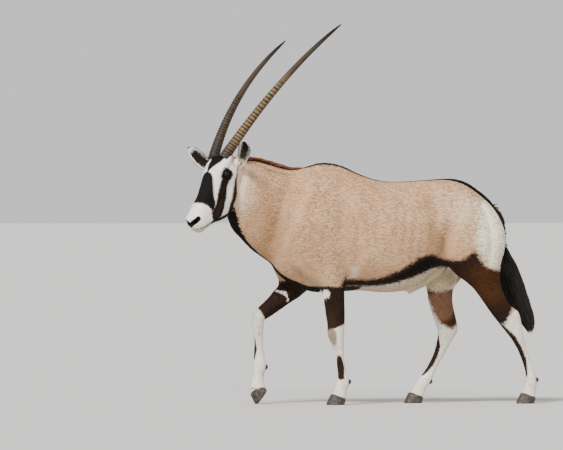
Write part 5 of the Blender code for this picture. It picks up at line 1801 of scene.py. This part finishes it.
def coat_material(name, hair):
    """Short guard hair, matt. Its markings come from signed distances. The ticking of the coat
    is 6 to 12 mm across and its hairs are drawn 2 mm wide, coarser than real, so that they
    show."""
    made, tree, shader = new_material(name, 0.78, 0.12)
    patchy = cloud(tree, 9, 0.3, 0.7, detail=3.0)
    furry = cloud(tree, 95, 0.0, 1.0, -0.012, 0.012, (0.5, 1, 1), 3.0)
    fine = cloud(tree, 160, 0.0, 1.0, -0.004, 0.004)
    ticks = cloud(tree, 210, 0.62, 0.68)
    white = painted(tree, "E6DFD2", (patchy, "F2EEE6"))
    red = painted(
        tree, "22150D",
        (share_of(tree, "rich", 0.1, 0.9), "42260F"),
        (share_of(tree, "rich", 1.1, 2.0), "7A5844"),
    )
    brown = painted(tree, "1F140D", (patchy, "2E1D12"))
    black = painted(tree, "0A0807", (patchy, "120E0B"))
    cavity = painted(tree, "44392F", (share_of(tree, "ear", 0.30, 0.60), "1A1410"))
    colour = painted(
        tree, "B68C69",
        (patchy, "C39E7B"),
        # Darker and paler tan: partly its own tone, partly painted shade and painted light.
        (share_of(tree, "shade", 0.0, 0.8), "99734F"),
        (share_of(tree, "shade", 0.0, -0.7), "DCC4A6"),
        (ticks, share_of(tree, "specks", 0.1, 1.0, 0.0, 0.6), "4A3A2C"),
        (share_of(tree, "pale", 0.0, 1.0), "F0E4CE"),
        (edge_of(tree, "white", fine, 0.006), white),
        # Painted shade on the belly, under the chin and low on the legs, greying the white.
        (share_of(tree, "shade_below", 0.0, 1.0), "C4AD88"),
        (edge_of(tree, "rufous", furry, 0.012), red),
        (edge_of(tree, "brown", fine, 0.004), brown),
        (edge_of(tree, "black", fine, 0.004), black),
        (share_of(tree, "olive", 0.0, 1.0, 0.0, 0.85), "74664E"),
        (
            share_of(tree, "ear_in", 0.3, 0.7), share_of(tree, "ear_rim", 14, 30),
            share_of(tree, "ear", 0.14, 0.24), share_of(tree, "ear", 0.94, 0.84), cavity,
        ),
        (share_of(tree, "bare", 0.0, 1.0), "0F0B0A"),
    )
    grain = grain_of(tree)
    shade = add(tree, "ShaderNodeMapRange", {"Value": grain, "To Min": 0.93, "To Max": 1.06})
    if hair:
        tone = share_of(tree, "tone", -1, 1, 0.96, 1.04)
        # Each lock a little darker at its root than at its tip: painted shade.
        out = share_of(tree, "out", 0, 1, 0.97, 1.02)
        for part in (tone, out):
            shade = add(tree, "ShaderNodeMath", {0: shade, 1: part}, operation="MULTIPLY")
    colour = add(tree, "ShaderNodeVectorMath", {0: colour, "Scale": shade}, operation="SCALE")
    finish_shader(tree, shader, colour, grain, 0.45, 0.8 * MM)
    return made


def hair_material(name, roots, tips, spread, roughness=0.5, dark=None):
    """Coarse hair, a little glossy, each hair its own tone; some are dark where the hairs say
    so. The hairs are 1 to 3 mm wide, as locks of a few dozen real ones."""
    made, tree, shader = new_material(name, roughness, 0.35)
    colour = painted(tree, roots, (share_of(tree, "out", 0.1, 1.0), tips))
    if dark:
        colour = painted(tree, colour, (share_of(tree, "dark", 0.02, 0.25), dark))
    tone = share_of(tree, "tone", -1, 1, 1 - spread, 1 + spread)
    colour = add(tree, "ShaderNodeVectorMath", {0: colour, "Scale": tone}, operation="SCALE")
    tree.links.new(colour, shader.inputs["Base Color"])
    return made


def horn_material():
    """Horn keratin, grown in rings: near black in the grooves, tan on the ridges, dark and smoother
    towards the tip. The ridges' tan is partly wear and partly painted light, and the near horn's
    ridges are painted paler than the far one's. Its fibres are drawn 1.5 mm wide."""
    made, tree, shader = new_material("ringed_horn_keratin", 0.50, 0.18)
    streak = cloud(tree, 320, 0.3, 0.7, stretch=(1, 1, 0.35), detail=3.0)
    patchy = cloud(tree, 38, 0.42, 0.66, detail=3.0)
    low = share_of(tree, "along", 0.10, 0.0)
    # The ridges' tan: partly wear, partly painted light.
    worn_and_lit = painted(tree, "57462D", (streak, "7E6744"), (low, "3E3226"))
    dull = painted(tree, "1E1814", (streak, "352A20"))
    ridge = painted(
        tree, dull,
        # Mixed in by horn: painted paler on the near horn and darker on the far one, as painted
        # light and shade, besides wear.
        (share_of(tree, "worn_and_lit", 0.0, 1.0), worn_and_lit),
        (patchy, share_of(tree, "worn_and_lit", 0, 1, 0.8, 0.35), "2C231B"),
    )
    ringed = painted(tree, "150F0C", (share_of(tree, "ridge", 0.2, 0.9), ridge))
    smooth_part = painted(
        tree, "2B231C", (streak, "463A2D"), (share_of(tree, "along", 0.72, 0.95), "17120F"),
    )
    colour = painted(tree, ringed, (share_of(tree, "along", 0.44, 0.60), smooth_part))
    finish_shader(tree, shader, colour, streak, 0.5, 0.4 * MM)
    return made


def hoof_material():
    """Hoof keratin, dark grey-brown, dusty, with growth lines about 4 mm apart."""
    made, tree, shader = new_material("dusty_hoof_keratin", 0.58, 0.4)
    lines = cloud(tree, 240, 0.3, 0.7, stretch=(0.15, 0.15, 1))
    dust = cloud(tree, 70, 0.45, 0.75, 0.0, 0.5, detail=3.0)
    colour = painted(tree, "1E1916", (lines, "38302A"), (dust, "7A6A56"))
    finish_shader(tree, shader, colour, lines, 0.5, 0.5 * MM)
    return made


def eye_material():
    """A wet eye: a near-black bar of a pupil in a dark brown iris, under a clear gloss."""
    made, tree, shader = new_material("wet_eye", 0.06, 0.15, Coat_Weight=0.3, Coat_Roughness=0.03)
    iris = cloud(tree, 900, 0.3, 0.7)
    colour = painted(
        tree, "0E0805",
        (iris, "180C06"),
        (share_of(tree, "iris", 40, 46), "0A0807"),
        (share_of(tree, "pupil", 1.08, 0.92), "020202"),
    )
    tree.links.new(colour, shader.inputs["Base Color"])
    return made


def floor_material():
    """A matt pale floor of one even tone."""
    made, _, shader = new_material("matt_studio_floor", 0.9, 0.0)
    shader.inputs["Base Color"].default_value = linear("BEBCBA")
    return made


# Putting it together


def finish_piece(obj, material, nodes=()):
    """Moves a piece into the part's frame, finishes it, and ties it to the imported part."""
    obj.data.transform(Matrix.Translation(SHIFT))
    obj.data.materials.clear()
    obj.data.materials.append(material)
    obj.data.shade_smooth()
    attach(obj, "root")
    if nodes:
        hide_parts(*nodes)


FLESH = (
    "torso", "neck", "head", "ear_left", "ear_right", "foreleg_left", "foreleg_right",
    "hindleg_left", "hindleg_right",
)
# How many locks or hairs each piece of the coat has
BODY_PIECES, BODY_LOCKS = 5, 10400
FACE_PIECES, FACE_LOCKS = 2, 7000
TAIL_HAIRS, DOCK_HAIRS, MANE_HAIRS, SPINE_HAIRS, EAR_HAIRS = 3000, 900, 4400, 4200, 420


def counted(number):
    return int(number * COAT_SHARE)


def build_horns_and_eyes():
    """The horns and the eyes of both sides."""
    horn_keratin, wet_eye = horn_material(), eye_material()
    for name, side in EAR_SIDES.items():
        finish_piece(horn(name, side), horn_keratin, ["horn_" + name])
        finish_piece(eye(name, side), wet_eye, ["eye_" + name])


def build_hooves():
    """Two claws to each foot, and the two small ones behind each fetlock."""
    keratin = hoof_material()
    for foot, (place, tip) in FEET.items():
        side = -1 if foot.endswith("left") else 1
        for word, outer in (("outer", side), ("inner", -side)):
            made = claw(f"hoof_{foot}_{word}", place, tip, outer)
            finish_piece(made, keratin, [f"claw_{foot}_{word}"])
        x, y, z = DEWCLAWS[foot]
        for word, aside in (("a", -0.011), ("b", 0.011)):
            middle = (x, y + aside, z)
            knob = ball(f"dewclaw_{foot}_{word}", middle, (0.011, 0.007, 0.014), (0, 25, 0))
            finish_piece(knob, keratin)


def build_long_hair(skin):
    """The tail's tuft and dock, the mane, the dark line of the back, and the ears' hair."""
    black = hair_material("black_tail_hair", "0C0A09", "2C2620", 0.6, 0.36)
    for seed in (1, 2):
        finish_piece(tail_hair(counted(TAIL_HAIRS), seed), black, ["tail"])
    finish_piece(dock_hair(counted(DOCK_HAIRS)), black)
    mane = ridge_hair(
        "mane_hair", skin, CREST, counted(MANE_HAIRS), SEED + 4, (0.030, 0.054), 0.020, 0.012,
        (1.4, 2.4), (0.6, 1.0, 1.0, 1.0, 0.7, 0.2),
    )
    red = hair_material("reddish_mane_hair", "56301B", "865637", 0.3, 0.55, "17110E")
    finish_piece(mane, red, ["mane"])
    spine = ridge_hair(
        "spine_hair", skin, SPINE[:13], counted(SPINE_HAIRS), SEED + 6, (0.016, 0.030), 0.010,
        0.018, (1.6, 2.6), (0.3, 0.8, 0.8, 0.7, 0.4, 0.3, 0.3, 0.5, 0.9, 1.3, 1.5, 1.4, 1.2),
    )
    finish_piece(spine, hair_material("dark_spine_hair", "110D0B", "261D17", 0.3))
    pale = hair_material("pale_ear_hair", "CFC7BC", "F2EEE8", 0.12, 0.6)
    finish_piece(ear_hair(counted(EAR_HAIRS)), pale)


def build_coat(skin):
    """Locks on every side: largest on the trunk, smaller on the legs, smallest on face and feet."""
    x, z = skin.points[:, 0], skin.points[:, 2]
    head = skin.is_head.astype(float)
    legs = 1 - step(0.50, 0.64, z)
    low = 1 - step(0.10, 0.30, z)
    sizes = [most - a * legs - b * low - c * head for most, a, b, c in LOCK_SIZES]
    material = coat_material("short_guard_hair", True)
    body = (1 - head) * (1 + 0.3 * legs)
    ends = np.quantile(x[~skin.is_head], np.linspace(0, 1, BODY_PIECES + 1))
    for k, (left, right) in enumerate(zip(ends[:-1], ends[1:], strict=True)):
        here = body * ((x >= left) & (x <= right))
        made = tufts(f"coat_body_{k}", skin, counted(BODY_LOCKS), here, sizes, SEED + k)
        finish_piece(made, material)
    bald = np.clip(skin.marks["bare"] * 3 + skin.marks["ear_in"], 0, 1)
    for k in range(FACE_PIECES):
        here = head * (1 - bald)
        made = tufts(f"coat_face_{k}", skin, counted(FACE_LOCKS), here, sizes, SEED + 10 + k)
        finish_piece(made, material)


def build():
    """Everything that stands in for the solids."""
    skin = Skin(whole_skin())
    for key, values in skin.marks.items():
        float_attribute(skin.obj.data, key, values)
    build_coat(skin)
    build_horns_and_eyes()
    build_hooves()
    build_long_hair(skin)
    finish_piece(skin.obj, coat_material("short_coat_skin", False), FLESH)


FLOOR_SIZE = 700
WORLD_STRENGTH = 0.8
# Each light: its strength, how many degrees wide it looks, and the way to it
LIGHTS = {
    "key": (5.2, 15, Vector((-0.75, -0.85, 1.25))),
    "eye_light": (0.9, 7, Vector((-0.20, -1.00, 0.45))),
}


def stage_and_light():
    """A pale floor so wide that no edge shows, a broad key light from the upper left front, a
    faint one near the camera for the eyes, and an even pale world as fill."""
    bpy.ops.mesh.primitive_plane_add(size=FLOOR_SIZE)
    floor = bpy.context.object
    floor.name = "studio_floor"
    floor.data.materials.append(floor_material())
    world = bpy.data.worlds.new("studio_world")
    bpy.context.scene.world = world
    world.use_nodes = True
    backdrop = world.node_tree.nodes["Background"]
    backdrop.inputs["Color"].default_value = linear("FFFFFF")
    backdrop.inputs["Strength"].default_value = WORLD_STRENGTH
    for name, (strength, wide, way) in LIGHTS.items():
        light = bpy.data.lights.new(name, "SUN")
        light.energy = strength
        light.angle = math.radians(wide)
        lamp = linked(name, light)
        lamp.rotation_mode = "QUATERNION"
        lamp.rotation_quaternion = way.to_track_quat("Z", "Y")


# The camera: its turn from square, and its distance, place across, height and aim
VIEW_TURN = math.radians(12)
VIEW_FAR = 30.0
VIEW_ACROSS = -0.4025
VIEW_HEIGHT = 0.98
VIEW_AIM = 0.895
PIXELS_PER_METRE = 200.0
IMAGE_WIDTH = 563
SENSOR = 36.0


def camera():
    """Stands far off on the animal's left, 12 degrees ahead of square, and looks down a
    little, so that a metre at the midline is 200 pixels."""
    right = Vector((math.cos(VIEW_TURN), -math.sin(VIEW_TURN), 0))
    ahead = Vector((math.sin(VIEW_TURN), math.cos(VIEW_TURN), 0))
    middle = right * VIEW_ACROSS
    place = middle - ahead * VIEW_FAR + Vector((0, 0, VIEW_HEIGHT))
    aim = middle + Vector((0, 0, VIEW_AIM))
    lens = bpy.data.cameras.new("photo_view")
    lens.sensor_width = SENSOR
    lens.lens = PIXELS_PER_METRE * VIEW_FAR / IMAGE_WIDTH * SENSOR
    lens.clip_end = FLOOR_SIZE * 2
    made = linked("photo_view", lens)
    made.location = place + SHIFT
    made.rotation_mode = "QUATERNION"
    made.rotation_quaternion = (aim - place).to_track_quat("-Z", "Y")
    bpy.context.scene.camera = made


camera()
stage_and_light()
build()
